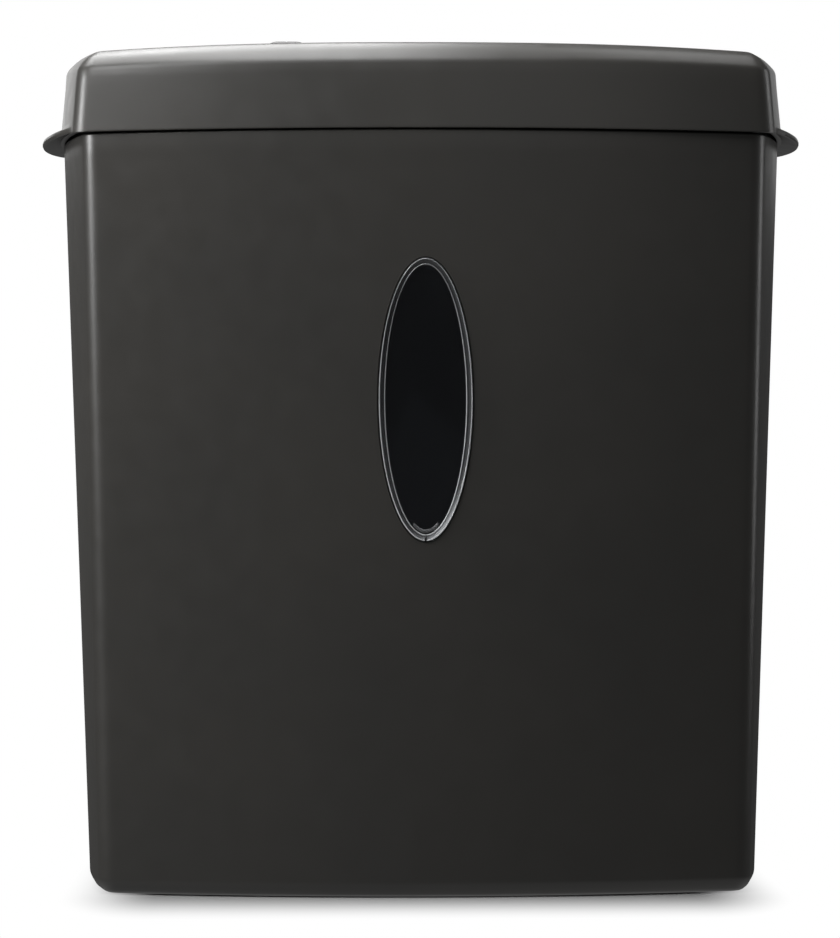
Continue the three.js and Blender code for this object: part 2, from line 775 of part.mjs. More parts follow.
// A frame on the top of the cover, a funnel and a short straight throat above the rollers.
function feedBezel() {
  const flangeZ = COVER_TOP_Z + GAP;
  const neckLength = SLOT_LENGTH + 2 * FUNNEL_WALL;
  const neckWidth = SLOT_WIDTH + 2 * FUNNEL_WALL;
  const plugLength = BEZEL_LENGTH - 2 * BEZEL_LIP - 1;
  const plugWidth = BEZEL_WIDTH - 2 * BEZEL_LIP - 1;
  const body = solid(
    loft([
      slotRing(neckLength, neckWidth, 1.5, SLOT_Z),
      slotRing(neckLength, neckWidth, 1.5, FUNNEL_Z),
      slotRing(plugLength, plugWidth, 3, flangeZ - 1),
      slotRing(plugLength, plugWidth, 3, flangeZ),
      slotRing(BEZEL_LENGTH, BEZEL_WIDTH, 4, flangeZ),
      slotRing(BEZEL_LENGTH, BEZEL_WIDTH, 4, BEZEL_TOP_Z - 0.6),
      slotRing(BEZEL_LENGTH - 1.6, BEZEL_WIDTH - 1.6, 4, BEZEL_TOP_Z),
    ]),
  );
  const path = solid(
    loft([
      slotRing(SLOT_LENGTH, SLOT_WIDTH, 0.5, SLOT_Z - 1),
      slotRing(SLOT_LENGTH, SLOT_WIDTH, 0.5, FUNNEL_Z + 1),
      slotRing(SLOT_LENGTH + 2 * MOUTH_OVERHANG, MOUTH_WIDTH, 3, BEZEL_TOP_Z + 1),
    ]),
  );
  const leverNotch = box(
    -LEVER.halfWidth - 1,
    LEVER.halfWidth + 1,
    0,
    BEZEL_WIDTH / 2,
    SLOT_Z - 1,
    LEVER.pivotZ + 3,
  );
  return cut(body, path, leverNotch).translate([0, THROAT_Y, 0]);
}

// A block on the Z axis from its half length, half width and heights.
function centredBox({ halfLength, halfWidth }, z0, z1) {
  return box(-halfLength, halfLength, -halfWidth, halfWidth, z0, z1);
}

// The panel lies flush in the cover, with a recess that the knob slides in.
function controlPanel() {
  const body = join(
    centredBox(PANEL, PANEL.z0, PANEL.z1),
    centredBox(PANEL_TAB, PANEL.z0, PANEL_TAB.z1),
  );
  const below = PANEL.z0 - 1;
  const above = PANEL.z1 + 1;
  const recess = centredBox(KNOB_RECESS, KNOB.z0 - GAP, above);
  const stemSlot = centredBox(STEM_SLOT, below, above);
  const ledHoles = LED_OFFSETS.map((x) => rodZ(LED.hole, below, above, x, 0, 12));
  return cut(body, recess, stemSlot, ...ledHoles);
}

// The sliding cap has a thumb notch across its top, and a stem that reaches the switch.
function modeKnob() {
  const [x0, x1] = KNOB_NOTCH.x;
  const cap = centredBox(KNOB, KNOB.z0, KNOB.z1);
  const notch = box(
    x0,
    x1,
    -KNOB.halfWidth - 1,
    KNOB.halfWidth + 1,
    KNOB.z1 - KNOB_NOTCH.depth,
    KNOB.z1 + 1,
  );
  return join(cut(cap, notch), centredBox(STEM, STEM.z0, KNOB.z0 + 1));
}

function slideSwitch() {
  const body = centredBox(SWITCH_BODY, SWITCH_BODY.z0, PANEL.z0 - GAP);
  return cut(body, centredBox(STEM_SLOT, STEM.z0 - GAP, PANEL.z0 + 1));
}

// A light pipe with a flange under the panel.
function ledLens(x) {
  return join(
    rodZ(LED.radius, PANEL.z0 - 1, LED.top, x, 0, 12),
    rodZ(LED.flangeRadius, LED.flangeZ0, PANEL.z0 - GAP, x, 0, 12),
  );
}

// ---------------------------------------------------------------- cutting block

function sidePlate(rightSide) {
  const bottom = TRAY_FLOOR + GAP;
  const backY = rightSide ? PLATE_BACK_Y.right : PLATE_BACK_Y.left;
  const shape = polygon([
    [PLATE_FRONT_Y, bottom],
    [backY - PLATE_CORNER, bottom],
    [backY, bottom + PLATE_CORNER],
    [backY, PLATE_TOP_Z - PLATE_CORNER],
    [backY - PLATE_CORNER, PLATE_TOP_Z],
    [PLATE_FRONT_Y + PLATE_CORNER, PLATE_TOP_Z],
    [PLATE_FRONT_Y, PLATE_TOP_Z - PLATE_CORNER],
  ]);
  const plate = extrudeX(shape, ...PLATE_X);
  const foot = box(
    PLATE_X[1] - 0.5,
    PLATE_X[1] + PLATE_FOOT.reach,
    ...PLATE_FOOT.y,
    bottom,
    bottom + PLATE_FOOT.thickness,
  );
  const through = (radius, y, z, sides) =>
    rodX(radius, PLATE_X[0] - 1, PLATE_X[1] + 1, y, z, sides);
  const bores = [FRONT_Y, REAR_Y].map((y) => through(BUSH_RADIUS + GAP, y, CUTTER_Z, 20));
  const screwHoles = BLOCK_SCREWS.filter(([x]) => x > 0).map(([x, y]) =>
    rodZ(BLOCK_SCREW_HOLE, TRAY_Z0, bottom + PLATE_FOOT.thickness + 1, x, y, 8),
  );
  const body = cut(join(plate, foot), ...bores, ...screwHoles);
  if (!rightSide) return body.mirror([1, 0, 0]);
  return cut(
    body,
    through(MOTOR_NOSE_HOLE, MOTOR_AXIS.x, MOTOR_AXIS.y, 16),
    through(GEAR_2_AXLE_RADIUS + GAP, GEAR_2_AXIS.x, GEAR_2_AXIS.y, 12),
    through(GEAR_1_AXLE_RADIUS + GAP, GEAR_1_AXIS.x, GEAR_1_AXIS.y, 12),
  );
}

function bush() {
  const [flange, face, end] = BUSH_X;
  const bore = JOURNAL_RADIUS + GAP;
  return turnedX(
    [
      [bore, flange],
      [BUSH_RADIUS + 1.6, flange],
      [BUSH_RADIUS + 1.6, face],
      [BUSH_RADIUS, face],
      [BUSH_RADIUS, end],
      [bore, end],
      [bore, flange],
    ],
    12,
  );
}

function cutterShaft(rightEnd) {
  const hex = rodX(HEX_RADIUS, -STACK_HALF_LENGTH - 1, STACK_HALF_LENGTH + 1, 0, 0, 6);
  const journals = rodX(JOURNAL_RADIUS, LEFT_SHAFT_END, rightEnd, 0, 0, 16);
  return join(hex, journals);
}

// Discs and the spacers between them, as one keyed stack with a hexagonal bore.
function cutterStack(discs) {
  const rings = [];
  const addRing = (x, toothed) => {
    const points = [];
    for (let i = 0; i < DISC_POINTS; i++) {
      const angle = (i / DISC_POINTS) * 2 * Math.PI;
      const radius = toothed ? DISC_RADIUS - (i % 2) * DISC_NOTCH : SPACER_RADIUS;
      points.push(new THREE.Vector3(radius * Math.cos(angle), radius * Math.sin(angle), x));
    }
    rings.push(points);
  };
  addRing(-STACK_HALF_LENGTH, false);
  for (let i = 0; i < discs; i++) {
    const middle = (i - (discs - 1) / 2) * DISC_PITCH;
    addRing(middle - DISC_THICKNESS / 2, false);
    addRing(middle - DISC_THICKNESS / 2, true);
    addRing(middle + DISC_THICKNESS / 2, true);
    addRing(middle + DISC_THICKNESS / 2, false);
  }
  addRing(STACK_HALF_LENGTH, false);
  const stack = solid(loft(rings).applyMatrix4(SHAPE_YZ_TO_X));
  const bore = rodX(HEX_RADIUS + 2 * GAP, -PLATE_X[1], PLATE_X[1], 0, 0, 6);
  return cut(stack, bore);
}

// A comb whose fingers reach between the discs of one roller and peel the paper off it.
function stripper(fingers, side) {
  const root = side * STRIPPER_REACH.root;
  const back = side * STRIPPER_REACH.back;
  const tip = side * STRIPPER_REACH.tip;
  const half = PLATE_X[0] - GAP;
  const outline = [
    [-half, back],
    [-half, root],
  ];
  for (let i = 0; i < fingers; i++) {
    const middle = (i - (fingers - 1) / 2) * DISC_PITCH;
    outline.push([middle - FINGER_WIDTH / 2, root]);
    outline.push([middle - FINGER_WIDTH / 2, tip]);
    outline.push([middle + FINGER_WIDTH / 2, tip]);
    outline.push([middle + FINGER_WIDTH / 2, root]);
  }
  outline.push([half, root], [half, back]);
  return extrudeZ(polygon(outline), -FINGER_HEIGHT / 2, FINGER_HEIGHT / 2);
}

// ---------------------------------------------------------------- gears

// A spur gear drawn in the (y, z) plane. offset turns it by that share of a tooth pitch.
function gearShape({ teeth, module }, offset = 0) {
  const pitch = (2 * Math.PI) / teeth;
  const middle = (teeth * module) / 2;
  const stations = [
    [-TOOTH_ROOT_SHARE / 2, middle - DEDENDUM * module],
    [-TOOTH_TIP_SHARE / 2, middle + ADDENDUM * module],
    [TOOTH_TIP_SHARE / 2, middle + ADDENDUM * module],
    [TOOTH_ROOT_SHARE / 2, middle - DEDENDUM * module],
  ];
  const points = [];
  for (let tooth = 0; tooth < teeth; tooth++) {
    for (const [share, radius] of stations) {
      const angle = (tooth + offset + share) * pitch;
      points.push([radius * Math.cos(angle), radius * Math.sin(angle)]);
    }
  }
  return polygon(points);
}

const gear = (size, [x0, x1], offset) => extrudeX(gearShape(size, offset), x0, x1);
const pitchRadius = ({ teeth, module }) => (teeth * module) / 2;

// How far, in its own tooth pitches, a gear is turned so that a gap faces a tooth of its
// partner: direction points from the partner's axis to this gear's axis.
function meshingOffset(size, partner, partnerOffset, direction) {
  const partnerPhase = (direction / (2 * Math.PI)) * partner.teeth - partnerOffset;
  const ownPhase = ((direction + Math.PI) / (2 * Math.PI)) * size.teeth;
  return ownPhase + partnerPhase - 0.5;
}

const rearAxis = new THREE.Vector2(REAR_Y, CUTTER_Z);
const thirdDistance = pitchRadius(THIRD_WHEEL) + pitchRadius(THIRD_PINION);
const GEAR_2_AXIS = new THREE.Vector2(
  REAR_Y + thirdDistance * Math.cos(GEAR_2_DIRECTION),
  CUTTER_Z + thirdDistance * Math.sin(GEAR_2_DIRECTION),
);
const GEAR_1_AXIS = circlesMeet(
  GEAR_2_AXIS,
  pitchRadius(SECOND_WHEEL) + pitchRadius(SECOND_PINION),
  MOTOR_AXIS,
  pitchRadius(FIRST_WHEEL) + pitchRadius(MOTOR_PINION),
);
const directionBetween = (from, to) => to.clone().sub(from).angle();

const OFFSETS = {};
OFFSETS.frontSync = 0;
OFFSETS.rearSync = meshingOffset(SYNC_GEAR, SYNC_GEAR, OFFSETS.frontSync, 0);
OFFSETS.thirdWheel = 0;
OFFSETS.thirdPinion = meshingOffset(
  THIRD_PINION,
  THIRD_WHEEL,
  OFFSETS.thirdWheel,
  directionBetween(rearAxis, GEAR_2_AXIS),
);
OFFSETS.secondWheel = 0;
OFFSETS.secondPinion = meshingOffset(
  SECOND_PINION,
  SECOND_WHEEL,
  OFFSETS.secondWheel,
  directionBetween(GEAR_2_AXIS, GEAR_1_AXIS),
);
OFFSETS.firstWheel = 0;
OFFSETS.motorPinion = meshingOffset(
  MOTOR_PINION,
  FIRST_WHEEL,
  OFFSETS.firstWheel,
  directionBetween(GEAR_1_AXIS, MOTOR_AXIS),
);

// A bore along X through every gear layer.
const gearBore = (radius, sides) => rodX(radius, PLATE_X[0], GEAR_COVER_X[1], 0, 0, sides);
const shaftBore = () => gearBore(JOURNAL_RADIUS + GAP, 16);

function compoundGear(wheel, wheelLayer, wheelOffset, pinion, pinionLayer, pinionOffset, bore) {
  const layers = [...wheelLayer, ...pinionLayer];
  const hub = rodX(
    pitchRadius(pinion) - DEDENDUM * pinion.module,
    Math.min(...layers),
    Math.max(...layers),
  );
  const body = join(
    gear(wheel, wheelLayer, wheelOffset),
    gear(pinion, pinionLayer, pinionOffset),
    hub,
  );
  return cut(body, gearBore(bore, 12));
}

function gearCover() {
  const [x0, x1] = GEAR_COVER_X;
  const plate = extrudeX(polygon(GEAR_COVER_OUTLINE), x0, x1);
  const standOffs = STAND_OFFS.map(([y, z]) =>
    rodX(STAND_OFF_RADIUS, PLATE_X[1] + GAP, x0 + 0.5, y, z, 10),
  );
  const axleHoles = [
    rodX(GEAR_2_AXLE_RADIUS + GAP, x0 - 1, x1 + 1, GEAR_2_AXIS.x, GEAR_2_AXIS.y, 12),
    rodX(GEAR_1_AXLE_RADIUS + GAP, x0 - 1, x1 + 1, GEAR_1_AXIS.x, GEAR_1_AXIS.y, 12),
  ];
  return cut(join(plate, ...standOffs), ...axleHoles);
}

// An axle stands in the right side plate on its collar and ends in the gear cover.
function gearAxle(radius) {
  const collarX = [PLATE_X[1] + GAP, PLATE_X[1] + AXLE_COLLAR];
  return join(
    rodX(radius, PLATE_X[0], GEAR_COVER_X[1] - GAP, 0, 0, 12),
    rodX(radius + AXLE_COLLAR, ...collarX, 0, 0, 12),
  );
}

// ---------------------------------------------------------------- motor

function motorCan() {
  const [, x0, x1] = MOTOR_X;
  const inside = MOTOR_RADIUS - MOTOR_WALL;
  const bearing = MOTOR_SHAFT_RADIUS + GAP;
  return turnedX(
    [
      [inside, x0 + GAP],
      [MOTOR_RADIUS, x0 + GAP],
      [MOTOR_RADIUS, x1],
      [bearing, x1],
      [bearing, x1 - CAN_END_THICKNESS],
      [inside, x1 - CAN_END_THICKNESS],
      [inside, x0 + GAP],
    ],
    24,
  );
}

function motorEndCap() {
  const [x0, x1] = MOTOR_X;
  const inside = MOTOR_RADIUS - MOTOR_WALL;
  const bearing = MOTOR_SHAFT_RADIUS + GAP;
  const innerFace = x0 + CAP_END_THICKNESS;
  const cup = turnedX(
    [
      [bearing, x0],
      [MOTOR_RADIUS, x0],
      [MOTOR_RADIUS, x1],
      [inside, x1],
      [inside, innerFace],
      [bearing, innerFace],
      [bearing, x0],
    ],
    24,
  );
  const vent = box(x0 - 1, innerFace + 1, -VENT.y, VENT.y, ...VENT.z);
  return cut(cup, aroundX(vent, VENT.count));
}

function fieldMagnet() {
  const outer = MOTOR_RADIUS - MOTOR_WALL - GAP;
  const inner = outer - MAGNET_THICKNESS;
  const to = Math.PI - MAGNET_START;
  const shape = new THREE.Shape();
  shape.absarc(0, 0, outer, MAGNET_START, to, false);
  shape.absarc(0, 0, inner, to, MAGNET_START, true);
  return extrudeX(shape, ...MAGNET_X);
}

// Shaft, commutator, end windings and laminations, turned as one piece.
const armature = () => turnedX(ARMATURE_PROFILE, 16);

function motorFan() {
  const hub = rodX(FAN.hubRadius, FAN.x0, FAN.x1);
  const disc = rodX(FAN.radius, FAN.discX, FAN.x1, 0, 0, 24);
  const { halfThickness } = FAN_BLADE;
  const blade = box(...FAN_BLADE.x, -halfThickness, halfThickness, ...FAN_BLADE.z);
  const bore = rodX(MOTOR_SHAFT_RADIUS + GAP, FAN.x0 - 1, FAN.x1 + 1);
  return cut(join(hub, disc, aroundX(blade, FAN_BLADE.count)), bore);
}

// ---------------------------------------------------------------- small parts

// A pan-head screw that points up, with a slot across the underside of its head.
function screw({ headRadius, headHeight, shankRadius, z1, slot }, seatZ, x, y) {
  const [slotHalfLength, slotHalfWidth, slotDepth] = slot;
  const headZ0 = seatZ - GAP - headHeight;
  const head = rodZ(headRadius, headZ0, seatZ - GAP, x, y, 12);
  const shank = rodZ(shankRadius, headZ0 + headHeight / 2, z1, x, y, 8);
  const groove = centredBox(
    { halfLength: slotHalfLength, halfWidth: slotHalfWidth },
    headZ0 - 1,
    headZ0 + slotDepth,
  ).translate([x, y, 0]);
  return cut(join(head, shank), groove);
}

function circlip() {
  const { outer, x, mouth } = CIRCLIP;
  const shape = new THREE.Shape();
  shape.absarc(0, 0, outer, mouth, 2 * Math.PI - mouth, false);
  shape.absarc(0, 0, JOURNAL_RADIUS + GAP, 2 * Math.PI - mouth, mouth, true);
  return extrudeX(shape, ...x, 6);
}

function interlockSwitch() {
  const bodySides = [-INTERLOCK_BODY.halfWidth, INTERLOCK_BODY.halfWidth];
  const leverSides = [-INTERLOCK_LEVER.halfWidth, INTERLOCK_LEVER.halfWidth];
  const body = box(...INTERLOCK_BODY.x, ...bodySides, TRAY_FLOOR + GAP, INTERLOCK_BODY.z1);
  const lever = box(...INTERLOCK_LEVER.x, ...leverSides, ...INTERLOCK_LEVER.z);
  return join(body, lever).translate([PLUNGER.x, PLUNGER.y, 0]);
}

function interlockPlunger() {
  const { x, y, radius, z1 } = PLUNGER;
  return rodZ(radius, INTERLOCK_TAB.z1 + GAP, z1, x, y, 12);
}

// A trigger that hangs across the throat from its pivot behind it.
function sensorLever() {
  const half = LEVER.halfWidth;
  return cut(extrudeX(polygon(LEVER_OUTLINE), -half, half), rodX(LEVER.bore, -9, 9, 0, 0, 10));
}

// The switch stands behind the lever on two cheeks, with the pivot pin between them.
function sensorSwitch() {
  const inner = LEVER.halfWidth + GAP;
  const outer = inner + SENSOR_CHEEK.thickness;
  const cheekHeights = [-SENSOR_CHEEK.halfHeight, SENSOR_CHEEK.halfHeight];
  const cheeks = [
    box(inner, outer, ...SENSOR_CHEEK.y, ...cheekHeights),
    box(-outer, -inner, ...SENSOR_CHEEK.y, ...cheekHeights),
  ];
  const { halfLength, y, halfHeight } = SENSOR_BODY;
  const body = box(-halfLength, halfLength, ...y, -halfHeight, halfHeight);
  const pin = rodX(SENSOR_PIN, -LEVER.halfWidth - 1, LEVER.halfWidth + 1, 0, 0, 10);
  return join(body, ...cheeks, pin);
}

// ---------------------------------------------------------------- assembly

const shredder = new THREE.Group();
const bin = new THREE.Group();
const head = new THREE.Group();
shredder.add(bin, head);

add(bin, "bin_shell", binShell(), MATERIALS.shell);
add(bin, "window_lens", windowLens(), MATERIALS.window);

// Casings and controls
add(head, "top_cover", topCover(), MATERIALS.shell);
add(head, "lower_housing", lowerHousing(), MATERIALS.trim);
add(head, "feed_bezel", feedBezel(), MATERIALS.trim);
add(head, "cord_gland", cordGland(), MATERIALS.rubber);

const controls = new THREE.Group();
controls.position.set(SWITCH_X, SWITCH_Y, 0);
head.add(controls);
add(controls, "control_panel", controlPanel(), MATERIALS.trim);
add(controls, "mode_switch_knob", modeKnob(), MATERIALS.trim);
add(controls, "slide_switch_body", slideSwitch(), MATERIALS.darkSteel);
["led_lens_left", "led_lens_right"].forEach((name, i) => {
  add(controls, name, ledLens(LED_OFFSETS[i]), MATERIALS.led);
});

// Frame of the cutting block
add(head, "side_plate_left", sidePlate(false), MATERIALS.steel);
add(head, "side_plate_right", sidePlate(true), MATERIALS.steel);
TIE_RODS.forEach(([y, z], i) => {
  const rod = rodX(TIE_ROD_RADIUS, -PLATE_X[0] + GAP, PLATE_X[0] - GAP, y, z, 12);
  add(head, `tie_rod_${i + 1}`, rod, MATERIALS.steel);
});

const rollers = [
  { name: "front", y: FRONT_Y, side: -1, discs: FRONT_DISCS, shaftEnd: 124.2 },
  { name: "rear", y: REAR_Y, side: 1, discs: FRONT_DISCS - 1, shaftEnd: 132.2 },
];
for (const { name, y, side, discs, shaftEnd } of rollers) {
  const roller = new THREE.Group();
  roller.position.set(0, y, CUTTER_Z);
  head.add(roller);
  const syncOffset = OFFSETS[`${name}Sync`];
  const syncGear = cut(gear(SYNC_GEAR, SYNC_LAYER, syncOffset), shaftBore());
  const fingers = 2 * FRONT_DISCS - 1 - discs;
  add(roller, `cutter_shaft_${name}`, cutterShaft(shaftEnd), MATERIALS.steel);
  add(roller, `cutter_stack_${name}`, cutterStack(discs), MATERIALS.darkSteel);
  add(roller, `sync_gear_${name}`, syncGear, MATERIALS.steel);
  add(roller, `bush_right_${name}`, bush(), MATERIALS.brass);
  add(roller, `bush_left_${name}`, bush().mirror([1, 0, 0]), MATERIALS.brass);
  add(roller, `circlip_${name}`, circlip(), MATERIALS.darkSteel);
  add(roller, `stripper_${name}`, stripper(fingers, side), MATERIALS.trim);
  if (name === "rear") {
    const drive = cut(gear(THIRD_WHEEL, THIRD_LAYER, OFFSETS.thirdWheel), shaftBore());
    add(roller, "drive_gear", drive, MATERIALS.steel);
  }
}

// Reduction gears
const gear2 = new THREE.Group();
gear2.position.set(0, GEAR_2_AXIS.x, GEAR_2_AXIS.y);
const gear1 = new THREE.Group();
gear1.position.set(0, GEAR_1_AXIS.x, GEAR_1_AXIS.y);
head.add(gear2, gear1);
add(
  gear2,
  "reduction_gear_2",
  compoundGear(
    SECOND_WHEEL,
    SECOND_LAYER,
    OFFSETS.secondWheel,
    THIRD_PINION,
    [THIRD_LAYER[0], SECOND_LAYER[0]],
    OFFSETS.thirdPinion,
    GEAR_2_AXLE_RADIUS + GAP,
  ),
  MATERIALS.gearPlastic,
);
add(gear2, "gear_axle_2", gearAxle(GEAR_2_AXLE_RADIUS), MATERIALS.steel);
add(
  gear1,
  "reduction_gear_1",
  compoundGear(
    FIRST_WHEEL,
    FIRST_LAYER,
    OFFSETS.firstWheel,
    SECOND_PINION,
    [SECOND_LAYER[0], FIRST_LAYER[0]],
    OFFSETS.secondPinion,
    GEAR_1_AXLE_RADIUS + GAP,
  ),
  MATERIALS.gearPlastic,
);
add(gear1, "gear_axle_1", gearAxle(GEAR_1_AXLE_RADIUS), MATERIALS.steel);
add(head, "gear_cover", gearCover(), MATERIALS.trim);

// Motor
const motor = new THREE.Group();
motor.position.set(0, MOTOR_AXIS.x, MOTOR_AXIS.y);
head.add(motor);
add(motor, "motor_can", motorCan(), MATERIALS.steel);
add(motor, "motor_end_cap", motorEndCap(), MATERIALS.trim);
add(motor, "field_magnet_upper", fieldMagnet(), MATERIALS.magnet);
add(motor, "field_magnet_lower", fieldMagnet().rotate([180, 0, 0]), MATERIALS.magnet);
add(motor, "armature", armature(), MATERIALS.darkSteel);
add(motor, "motor_fan", motorFan(), MATERIALS.trim);
const pinion = cut(
  gear(MOTOR_PINION, FIRST_LAYER, OFFSETS.motorPinion),
  gearBore(PINION_SEAT_RADIUS + GAP, 10),
);
add(motor, "motor_pinion", pinion, MATERIALS.brass);
const thermalCutout = box(
  ...THERMAL_CUTOUT.x,
  -THERMAL_CUTOUT.halfWidth,
  THERMAL_CUTOUT.halfWidth,
  MOTOR_RADIUS + GAP,
  THERMAL_CUTOUT.z1,
);
add(motor, "thermal_cutout", thermalCutout, MATERIALS.trim);

// Electrics on the left of the cutting block
const board = new THREE.Group();
board.position.set(BOARD.x, 0, TRAY_FLOOR + GAP);
head.add(board);
const boardBody = box(0, BOARD.thickness, ...BOARD.y, 0, BOARD.height);
const capacitor = rodX(CAPACITOR.radius, ...CAPACITOR.x, CAPACITOR.y, CAPACITOR.z, 16);
add(board, "control_board", boardBody, MATERIALS.board);
add(board, "relay", box(...RELAY.x, ...RELAY.y, ...RELAY.z), MATERIALS.relay);
add(board, "capacitor", capacitor, MATERIALS.brass);
add(head, "interlock_switch", interlockSwitch(), MATERIALS.trim);
add(head, "interlock_plunger", interlockPlunger(), MATERIALS.gearPlastic);

const sensor = new THREE.Group();
sensor.position.set(LEVER.x, LEVER.pivotY, LEVER.pivotZ);
head.add(sensor);
add(sensor, "paper_sensor_lever", sensorLever(), MATERIALS.gearPlastic);
add(sensor, "paper_sensor_switch", sensorSwitch(), MATERIALS.trim);

// Fasteners
COVER_POSTS.forEach(([x, y], i) => {
  const body = screw(COVER_SCREW, POST_SEAT_Z, x, y);
  add(head, `cover_screw_${i + 1}`, body, MATERIALS.darkSteel);
});
BLOCK_SCREWS.forEach(([x, y], i) => {
  const body = screw(BLOCK_SCREW, TRAY_Z0, x, y);
  add(head, `block_screw_${i + 1}`, body, MATERIALS.darkSteel);
});

export default shredder;
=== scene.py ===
"""A paper shredder: the visible pieces and every material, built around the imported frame.

Dimensions are in millimetres and are scaled to metres as each mesh is made. The feed slot
runs along X, the front faces -Y and the floor is at Z = 0.
"""

import json
import math

import bmesh
import bpy
from mathutils import Matrix, Vector

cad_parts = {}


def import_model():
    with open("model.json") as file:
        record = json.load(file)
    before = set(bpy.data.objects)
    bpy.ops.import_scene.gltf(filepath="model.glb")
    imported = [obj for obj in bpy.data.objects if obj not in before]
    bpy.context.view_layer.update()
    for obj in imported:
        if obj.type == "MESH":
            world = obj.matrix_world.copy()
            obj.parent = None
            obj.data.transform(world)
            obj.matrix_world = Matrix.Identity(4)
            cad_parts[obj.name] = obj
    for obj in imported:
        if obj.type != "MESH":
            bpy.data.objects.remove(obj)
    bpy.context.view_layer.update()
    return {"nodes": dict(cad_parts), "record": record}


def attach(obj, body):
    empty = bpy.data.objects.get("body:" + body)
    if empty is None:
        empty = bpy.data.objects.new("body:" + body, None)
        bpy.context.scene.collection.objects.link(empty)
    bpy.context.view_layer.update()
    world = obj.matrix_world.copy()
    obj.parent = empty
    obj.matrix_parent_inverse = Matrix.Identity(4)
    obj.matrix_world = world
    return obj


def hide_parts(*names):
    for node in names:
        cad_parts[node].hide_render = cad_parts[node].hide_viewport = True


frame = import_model()

MM = 0.001
MERGE_DISTANCE = 0.002
OVERSHOOT = 10  # how far a tool reaches past the wall that it cuts

# ---------------------------------------------------------------- dimensions

# The plan outline is four outward-bowed sides with rounded corners.
FRONT_BOW = 25.6
CORNER_RADIUS = 12
SHARPEST_CORNER = 3
SIDE_STEPS = 20
CORNER_STEPS = 8
FRONT_STEPS = 48
BACK_STEPS = 16

# Outline sizes: half width, half depth and the X of the corner where front meets side
BIN_HEIGHT = 358.4
BIN_WALL = 2.5
BIN_FOOT = (161.9, 102.6, 153.3)
BIN_RIM = (174.3, 113.8, 159.5)
RIM_BEAD = 4.5
BIN_LEAN = math.atan((BIN_RIM[1] - BIN_FOOT[1]) / BIN_HEIGHT)
# The rounded lower edge of the bin, as (inset, height) pairs from the underside up
FOOT_PROFILE = [
    (6.2, 0),
    (4.8, 0.2),
    (3.5, 0.75),
    (2.3, 1.7),
    (0.9, 4.2),
    (0.3, 5.6),
    (0.07, 6.5),
    (0, 7.4),
]
UNDERSIDE_INSETS = (13, 9)
# The inner rounding between wall and floor, from the wall down
INNER_FOOT = [(2.9, 10.6), (4.2, 7.4), (6.4, 4.6), (9.4, 2.9), (12.5, BIN_WALL), (17, BIN_WALL)]
# The rounded top of the rim, as (inset, depth below the top) pairs from the outside in
RIM_LIP = [(0, 0.9), (0.1, 0.45), (0.4, 0.12), (0.9, 0)]
RIM_BEAD_DEPTH = 6
RIM_BEAD_SLOPE = 4.5  # height over which the bead runs out into the wall
WALL_ROW_STEPS = (12, 10)  # below and above the window's patch
TAB_SPAN = ((-123, -117), (-95.6, -74), (290, 302))  # the tab that presses the interlock

WINDOW_Z = 232.6
WINDOW_HALF = (22, 66)
WINDOW_RIM = 3.1
WINDOW_CLEARANCE = 0.4
WINDOW_SIDES = 160
PAINTED_HIGHLIGHT_ATTRIBUTE = "painted_edge_highlight"  # name of the mesh attribute that holds the painted highlight on the window's moulded edges
# The painted highlight on the edges is strongest low on the right of the oval, weakest opposite
# that
HIGHLIGHT_ANGLE = math.radians(-68)
HIGHLIGHT_BASE = 0.84
HIGHLIGHT_SWING = 0.3
HIGHLIGHT_PEAK = 0.5
HIGHLIGHT_FOCUS = 12
# the even painted highlight on the window's snap tab
TAB_PAINTED_HIGHLIGHT = 0.4
PATCH_HALF = (33, 84)  # the part of the wall that is remeshed around the window
PATCH_RINGS = 9
ROW_STEP = 3.2

COVER_Z0 = 359
COVER_SHOULDER_Z = 389.6
COVER_TOP_Z = 400.8
COVER_WALL = 2.5
COVER_FOOT = (175.9, 115.0, 164.5)
COVER_SHOULDER = (173.0, 112.3, 162.3)
COVER_FLAT = (144, 91, 130)  # the level middle of the top
COVER_CREST = [
    # (inset, height over the front and back, height over the sides)
    (0, 389.6, 392.2),
    (0.9, 392, 394.2),
    (4.2, 396, 397.2),
    (7.4, 398.5, 399),
    (11, 400, 400.2),
    (18, 400.8, 400.8),
]
COVER_INSIDE = [
    # the same for the inner surface, from the ceiling down
    (18, 398.3, 398.3),
    (13.5, 397.7, 397.8),
    (9.6, 396.2, 396.8),
    (5.4, 392.6, 394.3),
    (3.1, 390, 392),
    (2.5, 388.8, 390.6),
]
SIDE_HALF_LENGTH = 75  # the sides' own heights fade out over this distance from their middle
CORNER_DROOP = 3.9  # the shoulders sink by up to 0.43 of this at the corners
EAR_CENTRE_X = 155
EAR_HALF = (29.8, 84)  # how far the ears' oval ends reach out, and half their length
EAR_Z0 = 359.5
EAR_THICKNESS = 3
EAR_SLOPE = 0.24  # drop for each millimetre outwards
EAR_ROUND = 1.1
EAR_FILLET = 2.5
HALF_TURN_DROP = 0.29  # how far a quarter circle has dropped half way, in shares of its radius
COVER_DRAFT_Z = 372  # below it the inside of the skirt follows the outside
COVER_POSTS = [(-140, -70), (140, -70), (-124, 80), (124, 80)]
COVER_POST = (4, 361.5)  # radius and lower end
COVER_POST_BORE = (1.7, 376)  # radius and upper end

TRAY_INSET = 8
TRAY_WALL = 2.5
TRAY_Z0 = 306
TRAY_FLOOR = TRAY_Z0 + TRAY_WALL
TRAY_FLANGE_INSET = 2.9
TRAY_FLANGE = (358.7, 361.2)
CHUTE = ((-112, 112), (-52, 28))
TRAY_POST_RADIUS = 4.8
SCREW_WELL = (3.5, 345)  # radius and upper end
SCREW_HOLE = (1.9, 370)  # the same
BLOCK_HOLE = (2.3, 320)  # the same
BLOCK_SCREWS = [(-121, -42), (-121, 18), (121, -42), (121, 18)]
PLUNGER_AT = (-120, -78)
PLUNGER_HOLE_RADIUS = 2.6

